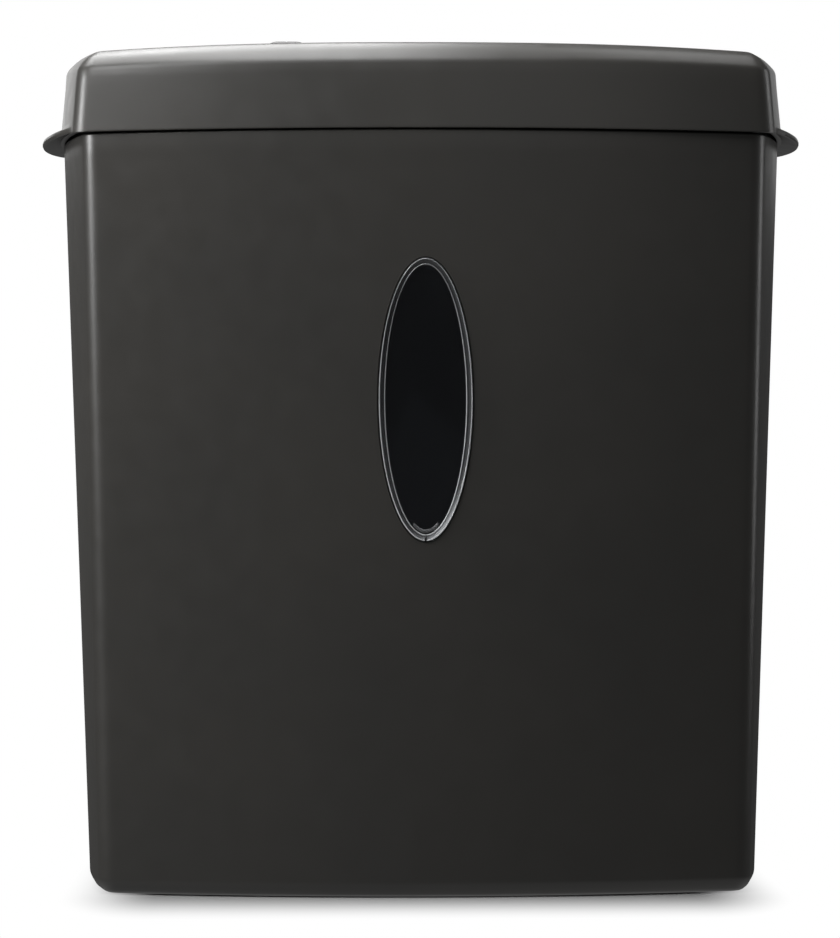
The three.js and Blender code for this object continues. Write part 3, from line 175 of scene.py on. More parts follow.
THROAT_Y = -12
SLOT = (222, 7)
SLOT_Z = 366
FUNNEL_Z = 384
BEZEL = (244, 44)
BEZEL_TOP_Z = 402.4
LEVER_NOTCH = (3, 381)  # half width and top of the notch for the paper lever

SWITCH_AT = (-65, -72)
PANEL = (50, 20)
PANEL_Z = (396.9, 400.5)
PANEL_TAB = ((56, 10), 398)  # size and top of the tabs that hook under the cover
KNOB = (16, 10)
KNOB_Z0 = 399.3
KNOB_TOP_Z = 403.3
KNOB_RECESS = (35, 13)
KNOB_STEP = 8  # from one place of the switch to the next
KNOB_GROOVE = (0.4, 0.3)  # half width and depth
STEM_HALF = (3, 1.6)
STEM_Z0 = 393.5
STEM_SLOT_HALF = (12, 2)
DOT = (0.55, 0.3)  # radius and depth of the marks for the knob's places
DOTS_BEHIND = 8
LED_OFFSET = 21.5
LED_HOLE_RADIUS = 2
LED_RADIUS = 1.6
LED_TIP_RADIUS = 0.05  # nearly a point on the axis
LED_FLANGE_RADIUS = 2.4
LED_DOME = 0.6
LED_Z = (395.4, 401)

GLAND_AT = (-110, 372)
GLAND_RADIUS = 6.4
GLAND_BORE = 4.4

CUTTER_Z = 344
ROLLER_Y = {"front": -29, "rear": 5}
ROLLER_DISCS = {"front": 17, "rear": 16}
DISC_RADIUS = 19
DISC_HOOK = 1.1
DISC_TEETH = 8
DISC_THICKNESS = 6.1
DISC_PITCH = 13
SPACER_RADIUS = 14.4
DISC_TWIST = math.radians(15)  # from each disc to the next
POINTS_PER_TOOTH = 8
STACK_HALF_LENGTH = 108.5
HEX_BORE = 7.5

# ---------------------------------------------------------------- plain solids
# A solid is a pair: a list of (x, y, z) points and a list of faces.


def lofted(rings, closed=False):
    """A skin over rings of equal length. An open one gets a flat face at each end."""
    count = len(rings[0])
    points = [point for ring in rings for point in ring]
    faces = []
    spans = len(rings) if closed else len(rings) - 1
    for level in range(spans):
        low = level * count
        high = (level + 1) % len(rings) * count
        for i in range(count):
            j = (i + 1) % count
            faces.append((low + i, low + j, high + j, high + i))
    if not closed:
        faces.append(tuple(reversed(range(count))))
        faces.append(tuple(range(len(points) - count, len(points))))
    return points, faces


def rounded_rectangle(size, radius, z, centre=(0, 0), steps=6):
    half_x, half_y = size[0] / 2 - radius, size[1] / 2 - radius
    corners = [(half_x, half_y), (-half_x, half_y), (-half_x, -half_y), (half_x, -half_y)]
    ring = []
    for quadrant, (x, y) in enumerate(corners):
        for step in range(steps + 1):
            angle = (quadrant + step / steps) * math.pi / 2
            px = centre[0] + x + radius * math.cos(angle)
            py = centre[1] + y + radius * math.sin(angle)
            ring.append((px, py, z))
    return ring


def shrunk(size, by):
    return [side - by for side in size]


def circle(radius, z, centre=(0, 0), sides=32):
    angles = [2 * math.pi * i / sides for i in range(sides)]
    return [
        (centre[0] + radius * math.cos(a), centre[1] + radius * math.sin(a), z) for a in angles
    ]


def box(x_span, y_span, z_span):
    (left, right), (front, back) = x_span, y_span
    corners = [(left, front), (right, front), (right, back), (left, back)]
    return lofted([[(x, y, z) for x, y in corners] for z in z_span])


def rod(radius, z_span, centre, sides=32):
    return lofted([circle(radius, z, centre, sides) for z in z_span])


def turned(profile, sides=48):
    """A closed profile of (radius, along) points turned about Z. It keeps clear of the axis."""
    return lofted([circle(radius, along, sides=sides) for radius, along in profile], closed=True)


def placed(solid, matrix):
    points, faces = solid
    return [tuple(matrix @ Vector(point)) for point in points], faces


def spline(points, steps):
    """Catmull-Rom curve through the points, with steps spans between two of them."""
    padded = [points[0], *points, points[-1]]
    curve = []
    for before, start, end, after in zip(padded, padded[1:], padded[2:], padded[3:]):
        for step in range(steps):
            t = step / steps
            curve.append(tuple(
                0.5 * (2 * b + (c - a) * t + (2 * a - 5 * b + 4 * c - d) * t**2
                       + (3 * b - a - 3 * c + d) * t**3)
                for a, b, c, d in zip(before, start, end, after)
            ))
    return [*curve, points[-1]]


# ---------------------------------------------------------------- Blender objects


def new_object(name, *solids):
    points, faces = [], []
    for solid_points, solid_faces in solids:
        offset = len(points)
        points += [(x * MM, y * MM, z * MM) for x, y, z in solid_points]
        faces += [tuple(offset + i for i in face) for face in solid_faces]
    mesh = bpy.data.meshes.new(name)
    mesh.from_pydata(points, [], faces)
    obj = bpy.data.objects.new(name, mesh)
    bpy.context.scene.collection.objects.link(obj)
    work = bmesh.new()
    work.from_mesh(mesh)
    bmesh.ops.remove_doubles(work, verts=work.verts, dist=MERGE_DISTANCE * MM)
    bmesh.ops.recalc_face_normals(work, faces=work.faces)
    work.to_mesh(mesh)
    work.free()
    return obj


def settle(obj):
    """Replaces the mesh of obj with what its modifiers make of it."""
    evaluated = obj.evaluated_get(bpy.context.evaluated_depsgraph_get())
    obj.data = bpy.data.meshes.new_from_object(evaluated)
    obj.modifiers.clear()


def carve(obj, operation, *tools):
    """Cuts solids out of obj (DIFFERENCE) or joins them to it (UNION)."""
    for tool in tools:
        other = new_object("tool", tool)
        modifier = obj.modifiers.new("carve", "BOOLEAN")
        modifier.operation = operation
        modifier.solver = "EXACT"
        modifier.object = other
        settle(obj)
        bpy.data.objects.remove(other)


def hand_over(obj, body, material, *nodes, sharp=32):
    """Shades obj smooth up to a fold angle, gives it its material, hangs it on its body and hides
    the frame's nodes that it stands in for.
    """
    work = bmesh.new()
    work.from_mesh(obj.data)
    for face in work.faces:
        face.smooth = True
    for edge in work.edges:
        edge.smooth = len(edge.link_faces) == 2 and edge.calc_face_angle() < math.radians(sharp)
    work.to_mesh(obj.data)
    work.free()
    obj.data.materials.clear()
    obj.data.materials.append(MATERIALS[material])
    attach(obj, body)
    if nodes:
        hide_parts(*nodes)


# ---------------------------------------------------------------- materials


# Noise mostly stays between these values.
NOISE_RANGE = (0.3, 0.7)


class Shader:
    """One procedural material. Texture sizes are in metres of the object's own space."""

    def __init__(self, name, colour, roughness, metallic=0.0, **sockets):
        self.material = bpy.data.materials.new(name)
        self.material.use_nodes = True
        self.tree = self.material.node_tree
        self.surface = self.tree.nodes["Principled BSDF"]
        self.colour = colour
        self.surface.inputs["Base Color"].default_value = (*colour, 1)
        self.surface.inputs["Roughness"].default_value = roughness
        self.surface.inputs["Metallic"].default_value = metallic
        for socket, value in sockets.items():
            self.surface.inputs[socket.replace("_", " ")].default_value = value
        self.place = self.node("ShaderNodeTexCoord").outputs["Object"]
        self.normal = None

    def node(self, kind, **inputs):
        made = self.tree.nodes.new(kind)
        for key, value in inputs.items():
            self.feed(made.inputs[key.replace("_", " ")], value)
        return made

    def feed(self, socket, value):
        if isinstance(value, bpy.types.NodeSocket):
            self.tree.links.new(value, socket)
        else:
            socket.default_value = value

    def noise(self, size, detail=2.0, stretch=(1, 1, 1)):
        """Noise of about this feature size, longer along an axis by its stretch."""
        mapping = self.node("ShaderNodeMapping", Vector=self.place)
        mapping.inputs["Scale"].default_value = [1 / (size * s) for s in stretch]
        noise = self.node("ShaderNodeTexNoise", Vector=mapping.outputs[0], Scale=1.0, Detail=detail)
        return noise.outputs["Fac"]

    def spread(self, value, low, high):
        ranged = self.node("ShaderNodeMapRange", Value=value, To_Min=low, To_Max=high)
        ranged.inputs["From Min"].default_value = NOISE_RANGE[0]
        ranged.inputs["From Max"].default_value = NOISE_RANGE[1]
        return ranged.outputs[0]

    def blend_colours(self, share, start, end):
        """Drives the colour from start to end by a share that another node gives."""
        mix = self.node("ShaderNodeMix")
        mix.data_type = "RGBA"
        factor = next(socket for socket in mix.inputs if socket.type == "VALUE")
        colours = [socket for socket in mix.inputs if socket.type == "RGBA"]
        self.feed(factor, share)
        self.feed(colours[0], (*start, 1))
        self.feed(colours[1], (*end, 1))
        result = next(socket for socket in mix.outputs if socket.type == "RGBA")
        self.tree.links.new(result, self.surface.inputs["Base Color"])

    def mottle(self, size, amount, tint=(1, 1, 1), **options):
        """Lets the colour drift by this share, and towards a tint, over features of this size."""
        drift = self.spread(self.noise(size, **options), 0.0, 1.0)
        dark = [c * (1 - amount) for c in self.colour]
        light = [min(c * (1 + amount) * t, 1) for c, t in zip(self.colour, tint)]
        self.blend_colours(drift, dark, light)

    def sheen_marks(self, size, low, high, **options):
        """Lets the roughness drift between two values."""
        drift = self.spread(self.noise(size, **options), low, high)
        self.tree.links.new(drift, self.surface.inputs["Roughness"])

    def grain(self, size, depth, strength=1.0, **options):
        """Adds a bump of this depth in metres."""
        bump = self.node("ShaderNodeBump", Height=self.noise(size, **options))
        bump.inputs["Strength"].default_value = strength
        bump.inputs["Distance"].default_value = depth
        if self.normal:
            self.tree.links.new(self.normal, bump.inputs["Normal"])
        self.normal = bump.outputs[0]
        self.tree.links.new(self.normal, self.surface.inputs["Normal"])

    def painted_edge_highlight(self, colour, transmission):
        """Paints a pale highlight on the moulded edges of a clear piece, and makes them less
        see-through.
        """
        edge = self.node("ShaderNodeAttribute")
        edge.attribute_name = PAINTED_HIGHLIGHT_ATTRIBUTE
        share = edge.outputs["Fac"]
        self.blend_colours(share, self.colour, colour)
        start, end = transmission
        clear = self.node("ShaderNodeMapRange", Value=share, To_Min=start, To_Max=end)
        self.tree.links.new(clear.outputs[0], self.surface.inputs["Transmission Weight"])

    def soft_edges(self, radius):
        """Rounds hard mesh edges in the shading."""
        bevel = self.node("ShaderNodeBevel", Radius=radius)
        bevel.samples = 4
        self.normal = bevel.outputs[0]
        self.tree.links.new(self.normal, self.surface.inputs["Normal"])


def moulded(name, colour, roughness, grain_depth=0.00006, **sockets):
    """Moulded plastic: a fine spark-eroded grain and slight drifts of gloss and colour."""
    shader = Shader(name, colour, roughness, **sockets)
    shader.mottle(0.09, 0.05, tint=(1.02, 1.0, 0.98))
    shader.sheen_marks(0.012, roughness - 0.03, roughness + 0.03, detail=6.0)
    shader.grain(0.0007, grain_depth, strength=0.35, detail=3.0)
    shader.grain(0.03, 0.0006, strength=0.05)
    return shader


def metal(name, colour, roughness, stretch, scratch=0.00002):
    """Worked metal: fine lines along one axis, with duller patches."""
    shader = Shader(name, colour, roughness, metallic=1.0)
    shader.soft_edges(0.0003)
    shader.mottle(0.02, 0.10, detail=4.0)
    shader.sheen_marks(0.0012, roughness - 0.08, roughness + 0.10, detail=4.0, stretch=stretch)
    shader.grain(0.0005, scratch, strength=0.5, stretch=stretch, detail=3.0)
    return shader


def build_materials():
    shaders = {
        "shell": moulded("satin_charcoal_abs", (0.0367, 0.0357, 0.0333), 0.36),
        "trim": moulded("black_textured_abs", (0.0125, 0.0125, 0.013), 0.42, 0.00009),
        "rubber": moulded("moulded_rubber", (0.010, 0.010, 0.010), 0.72, 0.00012),
        "gear_plastic": moulded(
            "natural_nylon",
            (0.72, 0.69, 0.58),
            0.48,
            Subsurface_Weight=0.08,
            Subsurface_Scale=0.002,
        ),
        "steel": metal("machined_steel", (0.56, 0.57, 0.58), 0.34, (12, 1, 1)),
        "dark_steel": metal("hardened_steel", (0.20, 0.20, 0.205), 0.38, (1, 6, 6), 0.00004),
        "brass": metal("sintered_bronze", (0.60, 0.43, 0.20), 0.42, (1, 1, 1), 0.00006),
    }
    window = Shader("smoked_clear_polycarbonate", (0.05, 0.055, 0.065), 0.06, IOR=1.49)
    # a pale painted highlight on the rim's edges, which also lets less light through there
    window.painted_edge_highlight((0.78, 0.80, 0.82), transmission=(0.9, 0.25))
    window.sheen_marks(0.02, 0.05, 0.11, detail=4.0)
    window.grain(0.02, 0.0004, strength=0.04)
    shaders["window"] = window

    led = Shader("green_light_pipe", (0.28, 0.50, 0.31), 0.16, Coat_Weight=0.6)
    led.mottle(0.002, 0.15)
    led.grain(0.0004, 0.00002, strength=0.3)
    shaders["led"] = led

    magnet = Shader("ferrite", (0.045, 0.045, 0.048), 0.68)
    magnet.soft_edges(0.0004)
    magnet.mottle(0.003, 0.25, detail=6.0)
    magnet.grain(0.0006, 0.0001, strength=0.6, detail=5.0)
    shaders["magnet"] = magnet

    board = Shader("solder_mask", (0.022, 0.11, 0.045), 0.34, Coat_Weight=0.3)
    board.mottle(0.0035, 0.35, tint=(1.2, 1.1, 1.0), detail=1.0, stretch=(1, 4, 1))
    board.grain(0.002, 0.00008, strength=0.6, stretch=(1, 6, 1))
    shaders["board"] = board

    relay = Shader("blue_relay_case", (0.020, 0.060, 0.22), 0.30)
    relay.soft_edges(0.0006)
    relay.mottle(0.01, 0.08)
    relay.grain(0.0006, 0.00004, strength=0.4)
    shaders["relay"] = relay

    capacitor = Shader("film_sleeve", (0.40, 0.26, 0.035), 0.28, Coat_Weight=0.4)
    capacitor.soft_edges(0.0008)
    capacitor.mottle(0.004, 0.12, detail=4.0)
    capacitor.grain(0.001, 0.00005, strength=0.4, stretch=(5, 1, 1))
    shaders["capacitor"] = capacitor
    return {slot: shader.material for slot, shader in shaders.items()}


MATERIALS = build_materials()

# ---------------------------------------------------------------- the bowed outline


def blended(low, high, share):
    return tuple(a + (b - a) * share for a, b in zip(low, high))


def bin_size(z):
    return blended(BIN_FOOT, BIN_RIM, z / BIN_HEIGHT)


def cover_size(z):
    share = (z - COVER_Z0) / (COVER_SHOULDER_Z - COVER_Z0)
    return blended(COVER_FOOT, COVER_SHOULDER, min(max(share, 0), 1))


def circles_meet(first, first_radius, second, second_radius):
    """Where two circles meet, on the right of the line from the first centre to the second."""
    between = second - first
    along = (between.length**2 + first_radius**2 - second_radius**2) / (2 * between.length)
    aside = math.sqrt(first_radius**2 - along**2)
    unit = between.normalized()
    return Vector((
        first.x + unit.x * along + unit.y * aside,
        first.y + unit.y * along - unit.x * aside,
    ))


def front_arc(size, inset):
    """Centre and radius of the bowed front or back, drawn on the +Y side."""
    _, half_depth, corner_x = size
    radius = (corner_x**2 + FRONT_BOW**2) / (2 * FRONT_BOW)
    return Vector((0, half_depth - radius)), radius - inset


def side_arc(size, inset):
    half_width, half_depth, corner_x = size
    corner_y = half_depth - FRONT_BOW
    bow = half_width - corner_x
    radius = (corner_y**2 + bow**2) / (2 * bow)
    return Vector((half_width - radius, 0)), radius - inset


def quarter(size, inset, long_steps):
    """Outline points from the middle of the +X side to the middle of the +Y side."""
    front_centre, front_radius = front_arc(size, inset)
    side_centre, side_radius = side_arc(size, inset)
    radius = max(CORNER_RADIUS - inset, SHARPEST_CORNER)
    centre = circles_meet(front_centre, front_radius - radius, side_centre, side_radius - radius)
    side_end = math.atan2(centre.y - side_centre.y, centre.x - side_centre.x)
    corner_end = math.atan2(centre.y - front_centre.y, centre.x - front_centre.x)
    arcs = [
        (side_centre, side_radius, 0, side_end, SIDE_STEPS),
        (centre, radius, side_end, corner_end, CORNER_STEPS),
        (front_centre, front_radius, corner_end, math.pi / 2, long_steps),
    ]
    points = []
    for middle, length, start, end, steps in arcs:
        for step in range(steps):
            angle = start + (end - start) * step / steps
            x, y = middle.x + length * math.cos(angle), middle.y + length * math.sin(angle)
            points.append((x, y))
    return [*points, (0, size[1] - inset)]


def outline(size, inset, z):
    """The whole outline, anticlockwise seen from above, with more points along the front."""
    back = quarter(size, inset, BACK_STEPS)
    front = quarter(size, inset, FRONT_STEPS)
    points = [
        *back[:-1],
        *[(-x, y) for x, y in reversed(back[1:])],
        *[(-x, -y) for x, y in front[:-1]],
        *[(x, -y) for x, y in reversed(front[1:])],
    ]
    return [(x, y, z) for x, y in points]


END_STEPS = SIDE_STEPS + CORNER_STEPS
# Which point of an outline is in the middle of the front
FRONT_MIDDLE = 2 * (END_STEPS + BACK_STEPS) + END_STEPS + FRONT_STEPS


def front_y(size, inset, x):
    centre, radius = front_arc(size, inset)
    return -(centre.y + math.sqrt(radius**2 - x**2))


# ---------------------------------------------------------------- bin


def span(start, end, step):
    count = max(1, round(abs(end - start) / step))
    return [start + (end - start) * i / count for i in range(count + 1)]


def oval(half, inset, angle):
    """A point of the window's oval as (across, up), in the wall's leaning plane."""
    return (half[0] - inset) * math.cos(angle), (half[1] - inset) * math.sin(angle)


def patch(points, faces, level_of, rows, columns, inset, flare, edge):
    """Fills a rectangle of the wall's grid with rings that turn into the window's oval.

    The hole is wider by flare at the surface. Below it, edge gives (wider by, depth) pairs.
    Returns the points of the innermost ring.
    """
    (low, high), (left, right) = rows, columns
    border = [(low, c) for c in range(left, right)]
    border += [(r, right) for r in range(low, high)]
    border += [(high, c) for c in range(right, left, -1)]
    border += [(r, left) for r in range(high, low, -1)]
    count = len(outline(BIN_RIM, 0, 0))
    loop = [level_of(row) * count + column for row, column in border]
    outer = [(points[i][0], points[i][2]) for i in loop]
    half = [h + WINDOW_CLEARANCE for h in WINDOW_HALF]
    angles = [math.atan2((z - WINDOW_Z) / half[1], x / half[0]) for x, z in outer]
    rings = [(i / PATCH_RINGS, 0, flare) for i in range(1, PATCH_RINGS + 1)]
    rings += [(1, depth, wider) for wider, depth in edge]
    for share, depth, wider in rings:
        new_loop = []
        for (x0, z0), angle in zip(outer, angles):
            across, up = oval(half, -wider, angle)
            x = x0 + (across - x0) * share
            z = z0 + (WINDOW_Z + up * math.cos(BIN_LEAN) - z0) * share
            new_loop.append(len(points))
            points.append((x, front_y(bin_size(z), inset + depth, x), z))
        for i, start in enumerate(loop):
            j = (i + 1) % len(loop)
            faces.append((start, loop[j], new_loop[j], new_loop[i]))
        loop = new_loop
    return loop


def bin_shell():
    low_z, high_z = WINDOW_Z - PATCH_HALF[1], WINDOW_Z + PATCH_HALF[1]
    bead_z = BIN_HEIGHT - RIM_BEAD_DEPTH - RIM_BEAD_SLOPE
    rows = [
        *span(FOOT_PROFILE[-1][1], low_z, WALL_ROW_STEPS[0])[1:-1],
        *span(low_z, high_z, ROW_STEP),
        *span(high_z, bead_z, WALL_ROW_STEPS[1])[1:],
    ]
    patch_rows = (rows.index(low_z), rows.index(high_z))
    lip = [(inset, BIN_HEIGHT - depth) for inset, depth in RIM_LIP]
    bead = [(RIM_BEAD - inset, z) for inset, z in reversed(lip)]
    inside = [(BIN_WALL, z) for z in reversed(rows)]
    outside = [*[(inset, 0) for inset in UNDERSIDE_INSETS], *FOOT_PROFILE, *[(0, z) for z in rows]]
    bead_foot = (RIM_BEAD, BIN_HEIGHT - RIM_BEAD_DEPTH)
    levels = [*outside, *lip, *bead, bead_foot, *inside, *INNER_FOOT]
    grid = [outline(bin_size(z), inset, z) for inset, z in levels]
    points, faces = lofted(grid)
    count = len(grid[0])
    first_row = len(outside) - len(rows)
    last_inner = len(levels) - len(INNER_FOOT) - 1
    columns = [
        c for c in range(count)
        if abs(c - FRONT_MIDDLE) <= FRONT_STEPS // 2 and abs(grid[first_row][c][0]) < PATCH_HALF[0]
    ]
    left, right = columns[0], columns[-1]
    walls = [
        # the grid level of a row, then what patch takes: inset, flare and edge
        (lambda row: first_row + row, 0, 0.35, [(0, 0.35), (0, 1.25)]),
        (lambda row: last_inner - row, BIN_WALL, 0, [(0, -0.6)]),
    ]
    removed = set()
    for level_of, *_ in walls:
        for row in range(*patch_rows):
            level = min(level_of(row), level_of(row + 1))
            removed.update(level * count + column for column in range(left, right))
    faces = [face for i, face in enumerate(faces) if i not in removed]
    outer_loop, inner_loop = [
        patch(points, faces, level_of, patch_rows, (left, right), *wall)
        for level_of, *wall in walls
    ]
    for i, start in enumerate(outer_loop):
        j = (i + 1) % len(outer_loop)
        faces.append((start, outer_loop[j], inner_loop[j], inner_loop[i]))
    shell = new_object("bin_shell_fine", (points, faces))
    carve(shell, "UNION", box(*TAB_SPAN))
    hand_over(shell, "bin", "shell", "bin_shell")


def on_wall(across, up, out):
    """A point of the window's own frame: on the leaning front wall, out of it by out."""
    sine, cosine = math.sin(BIN_LEAN), math.cos(BIN_LEAN)
    base_y = -bin_size(WINDOW_Z)[1]
    return (
        across,
        base_y - out * cosine - up * sine,
        WINDOW_Z - out * sine + up * cosine,
    )


def oval_ring(inset, out):
    ring = []
    for i in range(WINDOW_SIDES):
        angle = 2 * math.pi * i / WINDOW_SIDES
        ring.append(on_wall(*oval(WINDOW_HALF, inset, angle), out))
    return ring


LENS_PROFILE = [
    # (inset from the oval, height out of the wall, how much painted highlight the edge there
    # gets), from the back to the middle of the panel
    (WINDOW_RIM + 1.6, -1.2, 0),
    (WINDOW_RIM + 1.0, -1.3, 0),
    (WINDOW_RIM + 0.9, -2.3, 0),
    (0.2, -2.4, 0),
    (0, -2.2, 0),
    (0, 0.35, 0.2),
    (0.06, 0.62, 0.5),
    (0.2, 0.85, 1),
    (0.42, 0.98, 1),
    (0.62, 0.92, 0.8),
    (0.78, 0.74, 0.3),
    (2.3, 0.2, 0.15),
    (2.5, 0.22, 0.3),
    (2.65, 0.4, 0.8),
    (2.85, 0.5, 1),
    (3.05, 0.42, 0.8),
    (3.2, 0.2, 0.2),
    (3.45, 0.08, 0),
    (4.0, 0.06, 0),
]
# The outline cut across the snap tab, as (inset from the oval, height out of the wall) pairs
SNAP_TAB_SECTION = [(3.9, 0.05), (3.9, 0.42), (4.15, 0.55), (5.25, 0.55), (5.5, 0.42), (5.5, 0.05)]
SNAP_TAB_HALF_ANGLE = 0.34
SNAP_TAB_STEPS = 12
# The slit across the bottom of the rim, in the wall's plane, and how far out of it it reaches
RIM_SLIT = [(-0.22, -66.4), (0.22, -66.4), (0.22, -62.9), (-0.22, -62.9)]
RIM_SLIT_OUT = (0.5, 1.6)


def window_lens():
    """A clear oval panel: a bevelled rim, a thin inner lip and the panel itself."""
    rings = [oval_ring(inset, out) for inset, out, _ in LENS_PROFILE]
    lens = new_object("window_lens_fine", lofted(rings))
    # A painted highlight along the rim's edges, with a painted glint low on the right, pales the
    # colour.
    edge = lens.data.attributes.new(PAINTED_HIGHLIGHT_ATTRIBUTE, "FLOAT", "POINT")
    for i, value in enumerate(edge.data):
        share = LENS_PROFILE[i // WINDOW_SIDES][2]
        toward = math.cos(2 * math.pi * i / WINDOW_SIDES - HIGHLIGHT_ANGLE)
        painted_glint = HIGHLIGHT_PEAK * max(0, toward) ** HIGHLIGHT_FOCUS if share else 0
        value.value = share * (HIGHLIGHT_BASE + HIGHLIGHT_SWING * toward) + painted_glint
    slit = lofted([[on_wall(*at, out) for at in RIM_SLIT] for out in RIM_SLIT_OUT])
    carve(lens, "DIFFERENCE", slit)
    hand_over(lens, "bin", "window", "window_lens", sharp=24)


def snap_tab():
    """The crescent that clips the lens in, along the bottom of the panel."""
    sections = []
    for step in range(-SNAP_TAB_STEPS, SNAP_TAB_STEPS + 1):
        angle = 1.5 * math.pi + SNAP_TAB_HALF_ANGLE * step / SNAP_TAB_STEPS
        sections.append([
            on_wall(*oval(WINDOW_HALF, inset, angle), out) for inset, out in SNAP_TAB_SECTION
        ])
    tab = new_object("window_snap_tab", lofted(sections))
    # An even painted highlight on the tab pales its colour.
    edge = tab.data.attributes.new(PAINTED_HIGHLIGHT_ATTRIBUTE, "FLOAT", "POINT")
    for value in edge.data:
        value.value = TAB_PAINTED_HIGHLIGHT
    hand_over(tab, "bin", "window", sharp=50)


# ---------------------------------------------------------------- head casings


def ear_reach(x, y):
    """How far the lifting ear stands out of the cover's side at this outline point."""
    if abs(y) >= EAR_HALF[1]:
        return 0.0
    edge = EAR_CENTRE_X + EAR_HALF[0] * math.sqrt(1 - (y / EAR_HALF[1]) ** 2)
    return max(0.0, edge - abs(x))


def cover_ring(inset, z, side_z, droop=CORNER_DROOP):
    """A level of the cover, higher over the sides and drooping towards the four corners."""
    size = cover_size(z)
    ring = []
    for x, y, _ in outline(size, inset, z):
        side_share = max(0, 1 - (y / SIDE_HALF_LENGTH) ** 2)
        sink = droop * (x / (size[0] - inset)) ** 4 * (y / (size[1] - inset)) ** 2
        ring.append((x, y, z + (side_z - z) * side_share - sink))
    return ring


def ear_levels():
    """(z, offset function) pairs from under the ear, round its edge, to the fillet above it."""
    low, high = EAR_Z0, EAR_Z0 + EAR_THICKNESS
    r = EAR_ROUND

    def inside(reach, part):
        return reach - min(r, reach / 2) * part

    def root(reach):
        return min(EAR_FILLET, reach / 2)

    levels = [(low, lambda e, s=s: inside(e, 1) * s) for s in (0, 0.3, 0.6, 0.85, 1)]
    levels += [
        (low + r * HALF_TURN_DROP, lambda e: inside(e, HALF_TURN_DROP)),
        (low + r, lambda e: e),
        (high - r, lambda e: e),
        (high - r * HALF_TURN_DROP, lambda e: inside(e, HALF_TURN_DROP)),
    ]
    for share in (1, 0.7, 0.4, 0.0):
        levels.append((high, lambda e, s=share: root(e) + (inside(e, 1) - root(e)) * s))
    for degrees in (20, 40, 60, 75, 90):
        angle = math.radians(degrees)
        rise = EAR_FILLET * (1 - math.cos(angle))
        levels.append((high + rise, lambda e, a=angle: root(e) * (1 - math.sin(a))))
    return levels


def eared(z, offset):
    ring = []
    for x, y, _ in outline(cover_size(z), 0, z):
        out = offset(ear_reach(x, y))
        ring.append((x + math.copysign(out, x), y, z - EAR_SLOPE * out))
    return ring


def gland_matrix():
    """The gland's own frame: Z out of the bowed, leaning rear wall."""
    x, z = GLAND_AT
    centre, radius = front_arc(cover_size(z), 0)
    turn = math.asin(-x / radius)
    y = centre.y + radius * math.cos(turn)
    lean = math.atan((COVER_FOOT[1] - COVER_SHOULDER[1]) / (COVER_SHOULDER_Z - COVER_Z0))
    return (
        Matrix.Translation((x, y, z))
        @ Matrix.Rotation(turn, 4, "Z")
        @ Matrix.Rotation(lean, 4, "X")
        @ Matrix.Rotation(-math.pi / 2, 4, "X")
    )


def top_cover():
    lower = [(0.35, COVER_Z0), (0.1, COVER_Z0 + 0.1)]
    fillet_top = EAR_Z0 + EAR_THICKNESS + EAR_FILLET
    wall = [(0, z, z) for z in span(fillet_top, COVER_SHOULDER_Z - 5, 4)[1:]]
    rings = [outline(COVER_FLAT, COVER_WALL, COVER_TOP_Z - COVER_WALL)]
    rings += [cover_ring(*level) for level in COVER_INSIDE]
    rings += [outline(cover_size(z), COVER_WALL, z) for z in (COVER_DRAFT_Z, COVER_Z0)]
    rings += [outline(cover_size(z), inset, z) for inset, z in lower]
    rings += [eared(z, offset) for z, offset in ear_levels()]
    rings += [cover_ring(*level, droop=0) for level in wall]
    rings += [cover_ring(*level) for level in spline(COVER_CREST, 5)]
    rings += [outline(COVER_FLAT, inset, COVER_TOP_Z) for inset in (0, 6)]
    cover = new_object("top_cover_fine", lofted(rings))
    radius, foot = COVER_POST
    posts = [rod(radius, (foot, COVER_TOP_Z - COVER_WALL), at, 24) for at in COVER_POSTS]
    carve(cover, "UNION", *posts)
    radius, end = COVER_POST_BORE
    bores = [rod(radius, (COVER_Z0, end), at, 16) for at in COVER_POSTS]
    above, below = COVER_TOP_Z + OVERSHOOT, COVER_TOP_Z - OVERSHOOT
    bezel_hole = lofted([
        rounded_rectangle(shrunk(BEZEL, 6), 3, z, (0, THROAT_Y)) for z in (below, above)
    ])
    panel_hole = lofted([
        rounded_rectangle(shrunk(PANEL, -0.6), 1.8, z, SWITCH_AT) for z in (below, above)
    ])
    gland_bore = rod(GLAND_RADIUS + 0.3, (-2 * OVERSHOOT, 2 * OVERSHOOT), (0, 0))
    gland_hole = placed(gland_bore, gland_matrix())
    carve(cover, "DIFFERENCE", bezel_hole, panel_hole, gland_hole, *bores)
    hand_over(cover, "head", "shell", "top_cover")


